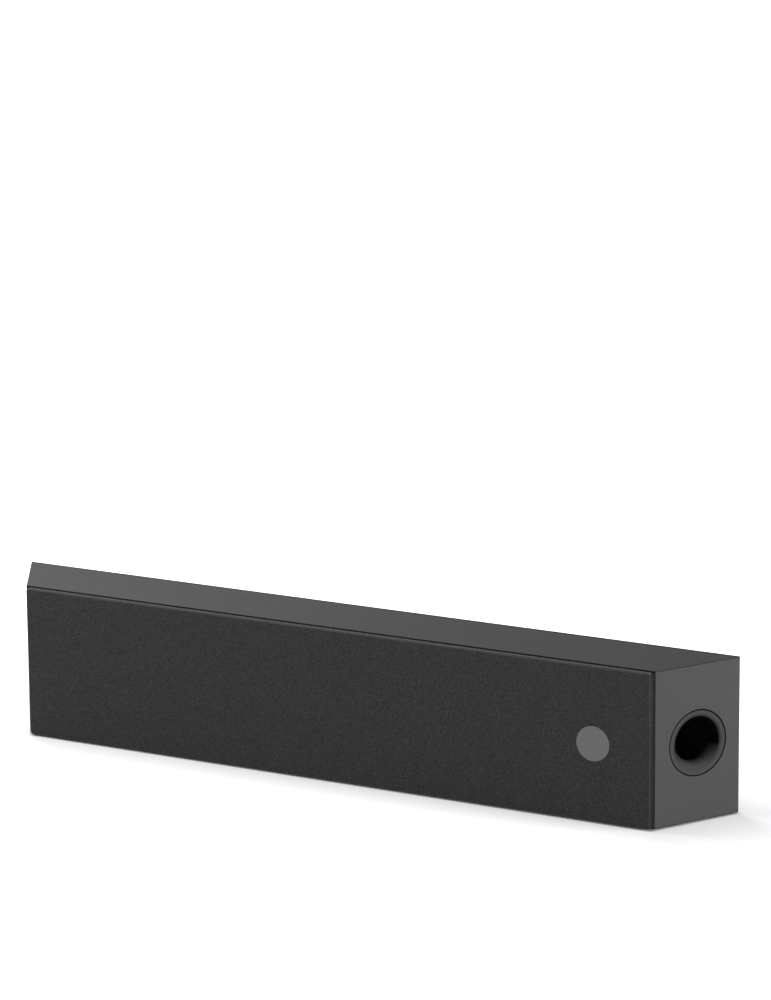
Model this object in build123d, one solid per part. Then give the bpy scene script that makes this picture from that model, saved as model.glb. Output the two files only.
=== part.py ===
from build123d import *
import os
from math import cos, pi, radians, sin, tan

# An active soundbar: a long low cabinet whose two ends are mitred back, with a bass port in each
# end, a pull-off cloth grille over the whole front, four woofers and two tweeters on a recessed
# baffle, and an electronics module in a bay behind the middle.
# Millimetres. X runs along the bar, the front faces -Y, +Z is up. The origin is the middle of the
# footprint, on the surface that the bar stands on.

# ---- driving dimensions ----
# cabinet
front_length = 675.0        # length of the cabinet along its front edge
cabinet_depth = 82.0        # front edge to back face
cabinet_height = 149.0      # without the pads under it
mitre = 30.0                # degrees that each end face turns back from square
wall = 12.0                 # top, bottom and end boards
rear_wall = 10.0
baffle_wall = 12.0
baffle_setback = 6.0        # baffle behind the front edges of the cabinet
edge_radius = 0.8           # softened outer edges
pad_proud = 1.0             # pads below the cabinet
pad_sunk = 1.0
pad_radius = 7.0
pad_inset_x = 60.0          # from the end of the front edge
pad_inset_y = 16.0
slip = 0.3                  # clearance round what is dropped into a recess

# grille
grille_proud = 5.0          # cloth in front of the cabinet's front edges
grille_gap = 0.3            # between the grille and the cabinet
grille_inset_ends = 2.0
grille_inset_top = 1.0
grille_inset_bottom = 0.2
grille_corner = 3.5
grille_round = 2.2          # rounding of the cloth over the front edge
cloth = 0.6                 # cloth thickness
cloth_wrap = 8.0            # cloth turned over the back of the frame
frame_border = 22.0
bar_width = 8.0
pin_radius = 2.5
pin_in_grommet = 8.0
pin_flange_radius = 4.5
pin_flange = 1.2
pin_inset_z = 6.5           # pin axis from the inner face of the top and bottom boards
pin_from_end = 37.5         # outer pins from the end of the front edge
pin_clearance = 0.1
grommet_radius = 5.0
grommet_length = 9.0
grommet_lip_radius = 6.5
grommet_lip = 1.0
badge_radius = 16.7
badge_proud = 0.5
badge_round = 0.3
badge_from_end = 60.0       # badge centre from the end of the front edge
badge_stem_radius = 1.5
badge_stem_spread = 8.0
badge_pad_radius = 14.0

# ports
port_rear_gap = 0.75        # from the duct to the rear panel
port_rim = 1.0              # flat rim round the flare
port_flare = 11.0           # radius of the rounded mouth
port_tube_wall = 1.8
port_flange = 3.0
port_gap = 0.5              # ring of air round the port's flange
port_seat = 5.7             # width of the step that the mouth's flange sits on
port_bend_gap = 3.0         # from the duct to the axis of its bend
port_tail_gap = 4.0         # tube end to the outer woofer's basket hole

# woofers
woofer_flange_radius = 50.0
woofer_flange = 4.0
woofer_hole_radius = 45.0   # hole through the baffle
basket_inner_radius = 42.0
basket_shell = 2.5
motor_to_foam = 2.0         # air behind the motor
basket_back_radius = 30.0
basket_plate = 3.0
basket_rib = 4.0            # metal left above and below each window
basket_window_count = 6
basket_window_width = 24.0
screw_circle_radius = 47.5
cone_radius = 35.5
cone_skin = 1.0
neck_to_spider = 5.0
coil_radius = 12.5
coil_skin = 0.5
coil_past_plate = 3.0       # coil beyond the motor's front plate
cap_radius = 17.0
cap_height = 6.0
surround_skin = 0.8
surround_sunk = 0.2
surround_land = 3.0         # width of each glued lip
motor_radius = 33.0
motor_front_plate = 5.0
motor_magnet = 10.0
motor_back_plate = 4.0
coil_gap = 0.6
spider_to_plate = 10.0      # spider in front of the basket's plate
spider_radius = 30.0
spider_skin = 0.6
spider_land = 3.0
spider_waves = 2
spider_wave = 1.2
driver_slip = 0.3           # flange to its recess
driver_gap = 1.0            # between neighbouring flanges
bay_gap = 2.0               # divider to the nearest woofer hole

# tweeters
tweeter_radius = 22.0
tweeter_plate = 3.0
tweeter_mouth_radius = 15.5
tweeter_screw_circle = 18.8
dome_radius = 12.5
dome_height = 4.5
dome_skin = 0.5
tweeter_bevel = 0.8
tweeter_coil = 5.0          # voice coil in the motor's gap
tweeter_motor_radius = 17.0
tweeter_motor_depth = 15.0

# inner woodwork
bay_half_width = 36.0       # electronics bay
divider_wall = 9.0
brace_wall = 9.0
brace_rim = 14.0
foam = 7.0
foam_rim = 6.0

# electronics module
plate_half_width = 46.0
plate_height = 112.0
plate = 2.0
plate_sunk = 2.0            # plate below the back face
module_half_width = 33.0    # hole in the rear panel
plate_rim = 10.0            # plate above and below that hole
board_half_width = 30.0
board_to_hole = 2.0         # board's ends inside the hole
board = 1.6
board_standoff = 16.0
capacitor_to_baffle = 4.8
standoff_radius = 3.0
board_corner = 5.0          # standoff axis from the board's edges
socket_shoulder = 1.0       # socket bodies wider than their noses, on each side
inlet_width = 25.0
inlet_height = 18.0
inlet_shell = 1.6
inlet_well = 12.5
inlet_pin_reach = 7.5
inlet_pin_width = 2.0
inlet_pin_height = 4.0
inlet_pin_shift = 1.5       # middle pin above the axis, outer pins below it
button_radius = 4.5
button_proud = 1.5
button_chamfer = 0.5
button_travel = 1.0
button_slip = 0.3
button_flange_radius = 6.0
button_flange = 1.0
button_stem_radius = 2.0
button_pitch = 18.0
button_below_post = 9.0     # buttons below the upper standoffs
switch_size = 6.0
switch_height = 4.0
plate_screw_inset = 4.0
plate_corner = 3.0
inlet_from_edge = 22.0      # power inlet above the plate's lower edge
socket_row = 4.0            # other sockets below the middle
socket_pitch = 18.0
inlet_pin_pitch = 7.0
hdmi_width = 15.5
hdmi_height = 6.0
hdmi_shell = 0.8
hdmi_well = 10.0
hdmi_tongue_width = 11.6
hdmi_tongue = 1.2
hdmi_tongue_sunk = 1.0
optical_size = 8.5
optical_shell = 1.0
optical_well = 6.0
jack_size = 9.0
jack_nose_radius = 3.5
jack_bore = 1.8
jack_well = 14.0
chip = 14.0
chip_height = 2.0
chip_pitch = 14.0
sink_half_width = 24.0
sink_height = 44.0
sink_base = 3.0
sink_fin = 1.4
sink_fins = 9
sink_to_board = 3.0         # fins to the second board
transformer_width = 30.0
transformer_height = 24.0
transformer_depth = 17.0
winding_width = 4.5         # openings in the core for the winding
winding_height = 13.5
winding_x = 10.5
transformer_drop = 18.0     # transformer below the middle
capacitor_radius = 6.0
capacitor_height = 18.0
capacitor_round = 0.8
capacitor_pitch = 16.0
capacitor_rise = 22.0

# remote-control eye
sensor_board = 1.6
sensor_half_width = 18.0
sensor_half_height = 7.0
sensor_screw_x = 14.0
sensor_screw_length = 9.0
sensor_wire_radius = 4.0
lens_pitch = 10.0
lens_radius = 2.5
light_radius = 1.5
lens_proud = 2.4

# wiring
wire_radius = 1.0           # each a twisted pair
wire_rise = 4.0             # wires above the bottom board
wire_inset = 3.0            # outermost wire inside the plug block's edge
wire_slot_depth = 14.0
wire_slot_height = 6.0
wire_pitch = 4.0
tab_width = 6.0             # soldering tab on a driver
tab_depth = 5.0
tab_reach = 4.0             # tab beyond the driver's own radius
terminal_length = 15.0      # plug block of the speaker wires
terminal_height = 10.0
terminal_to_board = 4.0     # plug block to the second board
terminal_drop = 28.5        # its middle below the board's middle
terminal_x = 14.0           # and to the side of it

# wall fixing
insert_spacing = 400.0
insert_height = 105.0       # above the surface
insert_radius = 4.0
insert_bore = 2.1           # core of an M5 thread

# screws
wood_screw_radius = 1.4
wood_screw_head_radius = 2.3
wood_screw_head = 1.6
wood_screw_length = 9.0
rear_screw_length = 7.0
machine_screw_radius = 1.5
machine_screw_head_radius = 2.8
machine_screw_head = 1.6
machine_screw_length = 5.0  # thread engaged in a standoff

# ---- places worked out from them ----
total_depth = cabinet_depth + grille_proud + badge_proud
back_y = total_depth / 2
front_y = back_y - cabinet_depth
base_z = pad_proud
top_z = base_z + cabinet_height
floor_z = base_z + wall               # inner face of the bottom board
ceiling_z = top_z - wall
middle_z = (base_z + top_z) / 2
baffle_y = front_y + baffle_setback
baffle_back_y = baffle_y + baffle_wall
rear_y = back_y - rear_wall           # inner face of the rear panel
divider_x = bay_half_width + divider_wall / 2
inner_woofer_x = bay_half_width + divider_wall + bay_gap + woofer_hole_radius
tweeter_x = inner_woofer_x + woofer_flange_radius + driver_gap + tweeter_radius
outer_woofer_x = tweeter_x + tweeter_radius + driver_gap + woofer_flange_radius
woofer_xs = [-outer_woofer_x, -inner_woofer_x, inner_woofer_x, outer_woofer_x]
tweeter_xs = [-tweeter_x, tweeter_x]
motor_height = motor_front_plate + motor_magnet + motor_back_plate
basket_depth = (cabinet_depth - baffle_setback - woofer_flange - motor_height - motor_to_foam
                - foam - rear_wall)
pin_end_x = front_length / 2 - pin_from_end
plate_y = back_y - plate_sunk         # outer face of the connector plate
plate_inner_y = plate_y - plate
board_y = plate_inner_y - board_standoff
power_standoff = board_y - 2 * board - capacitor_height - capacitor_to_baffle - baffle_back_y
power_y = board_y - board - power_standoff
module_height = plate_height - 2 * plate_rim
board_height = module_height - 2 * board_to_hole
sink_fin_depth = power_standoff - chip_height - sink_base - sink_to_board
terminal_depth = power_standoff - terminal_to_board
wire_y = board_y - board - terminal_depth / 2
wire_z = floor_z + wire_rise
wire_spread = terminal_depth / 2 - wire_inset
grille_front_y = front_y - grille_proud
grille_back_y = front_y - grille_gap
grille_height = cabinet_height - grille_inset_top - grille_inset_bottom
grille_middle_z = base_z + grille_inset_bottom + grille_height / 2
grille_length = front_length - 2 * grille_inset_ends
frame_back_y = grille_back_y - cloth
badge_x = front_length / 2 - badge_from_end
port_start_y = (front_y + back_y) / 2 + wall * sin(radians(mitre))
bend_rise = 1 - cos(radians(mitre))   # sideways travel of the bend, for a radius of 1
port_outer_radius = ((rear_y - port_rear_gap - port_start_y - bend_rise * port_bend_gap)
                     / (1 + bend_rise))
port_bend_radius = port_outer_radius + port_bend_gap
throat_radius = port_outer_radius - port_tube_wall
port_mouth_radius = throat_radius + port_flare + port_rim
port_body_radius = port_mouth_radius - port_seat


# ---- shared shapes ----
def end_x(y, inset=0.0):
    """Half length of the cabinet at depth y, to a plane set in from the end face by inset."""
    run = (y - front_y) * tan(radians(mitre))
    return front_length / 2 + run - inset / cos(radians(mitre))


def plan(y0, y1, inset):
    """Trapezium between two depths, with both ends set in."""
    x0, x1 = end_x(y0, inset), end_x(y1, inset)
    return Polygon((-x0, y0), (x0, y0), (x1, y1), (-x1, y1), align=None)


def slab(y0, y1, z0, z1, inset):
    """Board with mitred ends that fills the given depths and heights."""
    return extrude(Pos(0, 0, z0) * plan(y0, y1, inset), amount=z1 - z0)


def block(x0, x1, y0, y1, z0, z1):
    """Box between two corners."""
    return Pos((x0 + x1) / 2, (y0 + y1) / 2, (z0 + z1) / 2) * Box(x1 - x0, y1 - y0, z1 - z0)


def facing(x, y, z):
    """Plane whose +Z runs back into the cabinet from a point on the front."""
    return Plane(origin=(x, y, z), x_dir=(1, 0, 0), z_dir=(0, 1, 0))


def turned(*corners):
    """Solid of revolution about +Z from a closed outline of (radius, depth) corners."""
    return revolve(Plane.XZ * Polygon(*corners, align=None), Axis.Z)


def ring(outer, inner, depth0, depth1):
    return turned((inner, depth0), (outer, depth0), (outer, depth1), (inner, depth1))


def rod(radius, depth0, depth1):
    stands = (Align.CENTER, Align.CENTER, Align.MIN)
    return Pos(0, 0, depth0) * Cylinder(radius, depth1 - depth0, align=stands)


def circle_of(radius, count, start=45.0):
    """Places evenly round a circle."""
    angles = [radians(start + 360.0 * k / count) for k in range(count)]
    return [(radius * cos(a), radius * sin(a)) for a in angles]


def screw(radius, head_radius, head, length):
    """Pan-head screw whose head stands on depth 0 and whose shank runs to +Z."""
    return turned((0, -head), (head_radius * 0.6, -head), (head_radius, -head * 0.4), (head_radius, 0),
                  (radius, 0), (radius, length - radius), (0, length))


# ---- cabinet ----
def outer_body():
    body = slab(front_y, back_y, base_z, top_z, 0)
    return fillet(body.edges(), edge_radius)


def lid(z_outer, z_inner):
    """Top or bottom board, its ends cut at 45 degrees to meet the end boards."""
    reach = cabinet_depth
    outer = Pos(0, 0, z_outer) * plan(front_y - reach, back_y + reach, 0)
    inner = Pos(0, 0, z_inner) * plan(front_y - reach, back_y + reach, wall)
    wedge = loft([outer.face(), inner.face()], ruled=True)
    trim = block(-front_length, front_length, front_y, back_y, base_z, top_z)
    return wedge & trim


def pad_places():
    xs = front_length / 2 - pad_inset_x
    ys = front_y + pad_inset_y, back_y - pad_inset_y
    return [(x, y) for x in (-xs, xs) for y in ys]


def pads(clearance=0.0):
    height = pad_proud + pad_sunk
    pad = Cylinder(pad_radius + clearance, height, align=(Align.CENTER, Align.CENTER, Align.MIN))
    return [Pos(x, y, 0) * pad for x, y in pad_places()]


def top_panel():
    return lid(top_z, ceiling_z) & outer_body()


def bottom_panel():
    return (lid(base_z, floor_z) & outer_body()) - pads(slip)


def port_plane():
    """Plane on the right end face at the port's centre, with +Z into the cabinet."""
    y = (front_y + back_y) / 2
    normal = (cos(radians(mitre)), -sin(radians(mitre)))
    return Plane(origin=(end_x(y), y, middle_z), x_dir=(0, 0, 1), z_dir=(-normal[0], -normal[1], 0))


def right_end_panel():
    ends = slab(front_y, back_y, base_z, top_z, 0) - slab(front_y - wall, back_y + wall, base_z, top_z, wall)
    panel = ends & block(0, front_length, front_y, back_y, base_z, top_z)
    panel = (panel - lid(top_z, ceiling_z) - lid(base_z, floor_z)) & outer_body()
    recess = rod(port_mouth_radius + port_gap, -wall, port_flange)
    hole = rod(port_body_radius + port_gap, -wall, 2 * wall)
    return panel - port_plane() * recess - port_plane() * hole


def baffle_holes():
    holes = []
    for x in woofer_xs:
        at = facing(x, baffle_y, middle_z)
        holes.append(at * rod(woofer_flange_radius + driver_slip, -wall, woofer_flange))
        holes.append(at * rod(woofer_hole_radius, -wall, 2 * baffle_wall))
    for x in tweeter_xs:
        at = facing(x, baffle_y, middle_z)
        holes.append(at * rod(tweeter_radius + driver_slip, -wall, tweeter_plate))
        holes.append(at * rod(tweeter_motor_radius + driver_slip, -wall, 2 * baffle_wall))
    for at in pin_planes():
        holes.append(at * rod(grommet_radius, -wall, grommet_length))
    for at in woofer_screw_planes() + tweeter_screw_planes():
        holes.append(at * rod(wood_screw_radius, 0, wood_screw_length))
    for at in sensor_screw_planes():
        holes.append(at * rod(wood_screw_radius, 0, sensor_screw_length))
    holes.append(facing(0, baffle_y, middle_z) * rod(sensor_wire_radius, -wall, 2 * baffle_wall))
    return holes


def front_baffle():
    return slab(baffle_y, baffle_back_y, floor_z, ceiling_z, wall) - baffle_holes()


def insert_planes():
    """Planes on the back face at the wall inserts, with +Z into the cabinet."""
    return [Plane(origin=(x, back_y, insert_height), x_dir=(1, 0, 0), z_dir=(0, -1, 0))
            for x in (-insert_spacing / 2, insert_spacing / 2)]


def rear_panel():
    panel = slab(rear_y, back_y, floor_z, ceiling_z, wall)
    panel -= upright(0, middle_z, plate_inner_y, back_y + wall, 2 * (plate_half_width + slip),
                     plate_height + 2 * slip)
    panel -= upright(0, middle_z, rear_y - wall, back_y, 2 * module_half_width, module_height)
    panel -= [at * rod(insert_radius, -wall, 2 * rear_wall) for at in insert_planes()]
    panel -= [at * rod(wood_screw_radius, 0, rear_screw_length) for at in plate_screw_planes()]
    return panel


def wall_inserts():
    return [at * ring(insert_radius, insert_bore, 0, rear_wall) for at in insert_planes()]


def divider():
    board_solid = block(divider_x - divider_wall / 2, divider_x + divider_wall / 2,
                        baffle_back_y, rear_y, floor_z, ceiling_z)
    return board_solid - wire_holes(divider_x)


def brace():
    """Open board behind the tweeter that ties the top to the bottom and the back."""
    y0 = baffle_back_y + brace_rim / 2
    frame = block(tweeter_x - brace_wall / 2, tweeter_x + brace_wall / 2, y0, rear_y, floor_z, ceiling_z)
    window = block(tweeter_x - brace_wall, tweeter_x + brace_wall, y0 + brace_rim, rear_y - brace_rim,
                   floor_z + brace_rim, ceiling_z - brace_rim)
    return frame - window - wire_holes(tweeter_x)


def damping_foam():
    """Two sheets on the rear panel, one behind each woofer of the right half."""
    spans = [(bay_half_width + divider_wall, tweeter_x - brace_wall / 2),
             (tweeter_x + brace_wall / 2, outer_woofer_x + motor_radius)]
    sheets = [block(x0 + foam_rim, x1 - foam_rim, rear_y - foam, rear_y,
                    floor_z + foam_rim, ceiling_z - foam_rim) for x0, x1 in spans]
    holes = [at * rod(insert_radius + slip, 0, rear_wall + foam + slip) for at in insert_planes()]
    return [sheet - holes for sheet in sheets]


# ---- ports ----
def port_flare_insert():
    """Moulded mouth: flat rim, quarter-round flare and a spigot that ends at the board's inner face."""
    rim = port_mouth_radius - port_rim
    flare = JernArc((throat_radius, port_flare), (0, -1), port_flare, 90)
    outside = Polyline((rim, 0), (port_mouth_radius, 0), (port_mouth_radius, port_flange),
                       (port_body_radius, port_flange), (port_body_radius, port_flange * 2),
                       (port_outer_radius, port_flare), (port_outer_radius, wall), (throat_radius, wall),
                       (throat_radius, port_flare))
    return port_plane() * revolve(Plane.XZ * make_face([flare, outside]), Axis.Z)


def port_tube():
    """Duct that turns from the mitred end to run along the cabinet."""
    start = port_plane().origin + port_plane().z_dir * wall
    section = Circle(port_outer_radius) - Circle(throat_radius)
    mouth = Plane(origin=start, z_dir=port_plane().z_dir) * section
    turn_x = start.X - port_bend_radius * sin(radians(mitre))
    turn_y = start.Y - port_bend_radius * cos(radians(mitre))
    bend = revolve(mouth, Axis((turn_x, turn_y, 0), (0, 0, 1)), revolution_arc=mitre)
    run_y = turn_y + port_bend_radius
    tail_x = outer_woofer_x + woofer_hole_radius + port_tail_gap
    run = extrude(Plane(origin=(turn_x, run_y, middle_z), z_dir=(-1, 0, 0)) * section, amount=turn_x - tail_x)
    return bend + run


# ---- grille ----
def grille_solid(inset):
    """Slab with rounded corners and a rounded front edge, set in on every side."""
    length, height = grille_length - 2 * inset, grille_height - 2 * inset
    thickness = grille_back_y - grille_front_y - 2 * inset
    outline = RectangleRounded(length, height, grille_corner - inset)
    body = extrude(facing(0, grille_front_y + inset, grille_middle_z) * outline, amount=thickness)
    front = body.faces().sort_by(Axis.Y)[0]
    return fillet(front.edges(), grille_round - inset)


def badge_stems(depth0, depth1, clearance=0.0):
    at = facing(badge_x, 0, middle_z)
    return [at * Pos(x, 0, 0) * rod(badge_stem_radius + clearance, depth0, depth1)
            for x in (-badge_stem_spread / 2, badge_stem_spread / 2)]


def grille_cloth():
    length = grille_length - 2 * (cloth + cloth_wrap)
    height = grille_height - 2 * (cloth + cloth_wrap)
    back = extrude(facing(0, frame_back_y - cloth, grille_middle_z) * Rectangle(length, height),
                   amount=3 * cloth)
    skin = grille_solid(0) - grille_solid(cloth) - back
    return skin - badge_stems(grille_front_y, frame_back_y, slip)


def grille_frame():
    """Moulded frame with a window for each driver, and a pad behind the badge on an arm."""
    y0, y1 = grille_front_y, grille_back_y
    body = grille_solid(cloth)
    half_x, half_z = grille_length / 2 - frame_border, grille_height / 2 - frame_border
    z0, z1 = grille_middle_z - half_z, grille_middle_z + half_z
    bars = [divider_x, inner_woofer_x + woofer_flange_radius + driver_gap / 2,
            outer_woofer_x - woofer_flange_radius - driver_gap / 2, outer_woofer_x + woofer_flange_radius]
    window = block(-half_x, half_x, y0, y1, z0, z1)
    for x in bars + [-x for x in bars]:
        window -= block(x - bar_width / 2, x + bar_width / 2, y0, y1, z0, z1)
    window = fillet(window.edges().filter_by(Axis.Y), grille_corner)
    window -= facing(badge_x, y0, middle_z) * rod(badge_pad_radius, 0, grille_proud)
    window -= block(badge_x, half_x, y0, y1, middle_z - bar_width / 2, middle_z + bar_width / 2)
    body -= window
    body -= [at * rod(pin_radius, frame_back_y - baffle_y - wall, 0) for at in pin_planes()]
    return body - badge_stems(grille_front_y, frame_back_y)


def grille_badge():
    """Plain disc on two stems that pass through the cloth into the frame."""
    at = facing(badge_x, grille_front_y, middle_z)
    disc = at * rod(badge_radius, -badge_proud, 0)
    disc = fillet(disc.edges().sort_by(Axis.Y)[0], badge_round)
    for stem in badge_stems(grille_front_y, frame_back_y):
        disc += stem
    return disc


def pin_planes():
    """Planes on the baffle's face at the grille pins, with +Z into the cabinet."""
    zs = floor_z + pin_inset_z, ceiling_z - pin_inset_z
    return [facing(x, baffle_y, z) for x in (-pin_end_x, 0, pin_end_x) for z in zs]


def grille_pins():
    root = grille_front_y + 2 * cloth - baffle_y
    face = frame_back_y - baffle_y
    pin = turned((0, root), (pin_radius, root), (pin_radius, face), (pin_flange_radius, face),
                 (pin_flange_radius, face + pin_flange), (pin_radius, face + pin_flange),
                 (pin_radius, pin_in_grommet - pin_radius / 2), (pin_radius / 2, pin_in_grommet),
                 (0, pin_in_grommet))
    return [at * pin for at in pin_planes()]


def grille_grommets():
    bore = pin_radius + pin_clearance
    grommet = turned((bore, -grommet_lip), (grommet_lip_radius, -grommet_lip), (grommet_lip_radius, 0),
                     (grommet_radius, 0), (grommet_radius, grommet_length), (bore, grommet_length))
    return [at * grommet for at in pin_planes()]


# ---- woofers, modelled about +Z with depth 0 at the front of the flange ----
lip_depth = surround_skin + surround_sunk     # step that each lip of the surround is glued in
basket_end = woofer_flange + basket_depth
basket_plate_depth = basket_end - basket_plate
magnet_depth = basket_end + motor_front_plate
yoke_depth = magnet_depth + motor_magnet
motor_end = basket_end + motor_height
spider_depth = basket_plate_depth - spider_to_plate
neck_depth = spider_depth - neck_to_spider    # back end of the cone
coil_end = magnet_depth + coil_past_plate
tab_front = spider_depth - tab_depth          # front of the soldering tab


def basket_wall_radius(depth):
    """Inner radius of the basket's cone at a depth."""
    share = (depth - woofer_flange) / (basket_plate_depth - woofer_flange)
    return basket_inner_radius + (basket_back_radius - basket_inner_radius) * share


def basket_tab_span():
    """Inner and outer radius of the soldering tab on the basket's lowest rib."""
    radius = basket_wall_radius(tab_front)
    return radius + basket_shell / 2, radius + basket_shell + tab_reach


def woofer_screw_planes():
    return [facing(x + u, baffle_y + wood_screw_head, middle_z - v)
            for x in woofer_xs for u, v in circle_of(screw_circle_radius, 4)]


def woofer_basket():
    """Cast frame: screwed flange, windowed cone, ledge for the spider and a plate for the motor."""
    land = basket_inner_radius + surround_land
    bore = coil_radius + coil_gap
    body = turned((basket_inner_radius, lip_depth), (land, lip_depth), (land, 0), (woofer_flange_radius, 0),
                  (woofer_flange_radius, woofer_flange), (basket_inner_radius + basket_shell, woofer_flange),
                  (basket_back_radius + basket_shell, basket_plate_depth), (motor_radius, basket_plate_depth),
                  (motor_radius, basket_end), (bore, basket_end), (bore, basket_plate_depth),
                  (basket_back_radius, basket_plate_depth), (basket_inner_radius, woofer_flange))
    window_depth = (woofer_flange + basket_rib, spider_depth - basket_rib)
    window = block(basket_back_radius - basket_shell, woofer_flange_radius,
                   -basket_window_width / 2, basket_window_width / 2, *window_depth)
    body -= [Rot(0, 0, 360.0 * k / basket_window_count) * window for k in range(basket_window_count)]
    ledge_depth = spider_depth + spider_skin
    body += ring(basket_wall_radius(ledge_depth) + basket_shell / 2, spider_radius - spider_land,
                 ledge_depth, ledge_depth + basket_shell)
    body += block(-tab_width / 2, tab_width / 2, *basket_tab_span(), tab_front, tab_front + tab_depth)
    for u, v in circle_of(screw_circle_radius, 4):
        body -= Pos(u, v, 0) * rod(wood_screw_radius, 0, woofer_flange)
        body -= Pos(u, v, 0) * rod(wood_screw_head_radius, 0, wood_screw_head)
    return body


def woofer_motor():
    """Front plate, ring magnet and pole yoke, stacked."""
    bore = coil_radius + coil_gap
    pole = coil_radius - coil_skin - coil_gap
    front_plate = ring(motor_radius, bore, basket_end, magnet_depth)
    magnet = ring(motor_radius, bore + coil_gap, magnet_depth, yoke_depth)
    yoke = turned((0, basket_end), (pole, basket_end), (pole, yoke_depth), (motor_radius, yoke_depth),
                  (motor_radius, motor_end), (0, motor_end))
    return front_plate, magnet, yoke


def domed_cap(radius, height, skin, depth):
    """Thin spherical cap whose rim is at a depth and whose crown stands in front of it."""
    outer = ThreePointArc((-radius, depth), (0, depth - height), (radius, depth))
    inner_radius = radius - skin
    inner = ThreePointArc((-inner_radius, depth), (0, depth - height + skin), (inner_radius, depth))
    rims = [Line((side * inner_radius, depth), (side * radius, depth)) for side in (-1, 1)]
    half = make_face([outer, inner, *rims]) & Pos(radius, depth) * Rectangle(2 * radius, 4 * height)
    return revolve(Plane.XZ * half, Axis.Z)


def woofer_cone():
    """Paper cone and voice coil in one moving piece, with the dust cap glued on."""
    rim, former = cone_radius - surround_land, coil_radius - coil_skin
    cone = turned((cone_radius, lip_depth), (rim, lip_depth), (former, neck_depth), (former, coil_end),
                  (coil_radius, coil_end), (coil_radius, neck_depth + cone_skin),
                  (rim, lip_depth + cone_skin), (cone_radius, lip_depth + cone_skin))
    cap_depth = lip_depth + (neck_depth - lip_depth) * (rim - cap_radius) / (rim - former)
    return cone, domed_cap(cap_radius, cap_height, coil_skin, cap_depth)


def woofer_surround():
    """Half-roll rubber ring between the cone's rim and the basket's step."""
    lips = ring(cone_radius, cone_radius - surround_land, surround_sunk, lip_depth)
    lips += ring(basket_inner_radius + surround_land, basket_inner_radius, surround_sunk, lip_depth)
    middle = (cone_radius + basket_inner_radius) / 2
    roll_radius = (basket_inner_radius - cone_radius) / 2
    tube = Circle(roll_radius + surround_skin / 2) - Circle(roll_radius - surround_skin / 2)
    reach = 4 * roll_radius
    in_front = Pos(middle, lip_depth - reach / 2) * Rectangle(reach, reach)
    return lips + revolve(Plane.XZ * ((Pos(middle, lip_depth) * tube) & in_front), Axis.Z)


def woofer_spider():
    """Corrugated cloth disc that centres the voice coil."""
    waves = 2 * spider_waves + 1
    inner, outer = coil_radius + spider_land, spider_radius - spider_land
    crests = [(inner + (outer - inner) * k / waves, spider_depth + spider_wave * (-1) ** k * (0 < k < waves))
              for k in range(waves + 1)]
    front = [(coil_radius, spider_depth), *crests, (spider_radius, spider_depth)]
    back = [(r, depth + spider_skin) for r, depth in reversed(front)]
    return turned(*front, *back)


def at_woofer(x, shape):
    shapes = shape if isinstance(shape, tuple) else (shape,)
    return [facing(x, baffle_y, middle_z) * piece for piece in shapes]


# ---- tweeters, modelled the same way ----
tweeter_motor_end = tweeter_plate + tweeter_motor_depth


def tweeter_screw_planes():
    return [facing(x + u, baffle_y + wood_screw_head, middle_z - v)
            for x in tweeter_xs for u, v in circle_of(tweeter_screw_circle, 2)]


def tweeter_faceplate():
    body = turned((tweeter_mouth_radius, tweeter_plate), (tweeter_radius, tweeter_plate), (tweeter_radius, 0),
                  (tweeter_mouth_radius + tweeter_bevel, 0), (tweeter_mouth_radius, tweeter_bevel))
    for u, v in circle_of(tweeter_screw_circle, 2):
        body -= Pos(u, v, 0) * rod(wood_screw_radius, 0, tweeter_plate)
        body -= Pos(u, v, 0) * rod(wood_screw_head_radius, 0, wood_screw_head)
    return body


def tweeter_motor():
    bore, pole = dome_radius + coil_gap, dome_radius - dome_skin - coil_gap
    floor = tweeter_motor_end - motor_back_plate
    body = turned((0, tweeter_plate), (pole, tweeter_plate), (pole, floor), (bore, floor),
                  (bore, tweeter_plate), (tweeter_motor_radius, tweeter_plate),
                  (tweeter_motor_radius, tweeter_motor_end), (0, tweeter_motor_end))
    return body + block(-tab_width / 2, tab_width / 2, bore, tweeter_motor_radius + tab_reach,
                        tweeter_motor_end - tab_depth, tweeter_motor_end)


def tweeter_dome():
    depth = tweeter_plate - 2 * dome_skin
    coil = ring(dome_radius, dome_radius - dome_skin, depth, tweeter_plate + tweeter_coil)
    return domed_cap(dome_radius, dome_height, dome_skin, depth), coil


def tweeter_surround():
    outer = tweeter_mouth_radius
    return ring(outer, dome_radius, tweeter_plate - dome_skin, tweeter_plate)


# ---- electronics module, withdrawn to the rear ----
def plate_screw_planes():
    """Planes under the heads of the plate's wood screws, with +Z into the cabinet."""
    half_x = plate_half_width - plate_screw_inset
    half_z = plate_height / 2 - plate_screw_inset
    return [Plane(origin=(x, plate_y, middle_z + z), x_dir=(1, 0, 0), z_dir=(0, -1, 0))
            for x in (-half_x, half_x) for z in (-half_z, 0, half_z)]


def standoff_planes(y):
    """Planes at the standoffs' axes, with +Z towards the front."""
    half_x = board_half_width - board_corner
    half_z = board_height / 2 - board_corner
    return [Plane(origin=(x, y, middle_z + z), x_dir=(1, 0, 0), z_dir=(0, -1, 0))
            for x in (-half_x, half_x) for z in (-half_z, half_z)]


def board_standoffs():
    """Posts from the plate to the first board, and posts with studs from there to the second."""
    rear = rod(standoff_radius, 0, board_standoff) - rod(machine_screw_radius, 0, board_standoff)
    stud = rod(machine_screw_radius, -board - machine_screw_length, 0)
    thread = rod(machine_screw_radius, power_standoff - machine_screw_length, power_standoff)
    front = rod(standoff_radius, 0, power_standoff) - thread
    posts = [at * rear for at in standoff_planes(plate_inner_y)]
    return posts + [at * (front + stud) for at in standoff_planes(board_y - board)]


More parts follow.
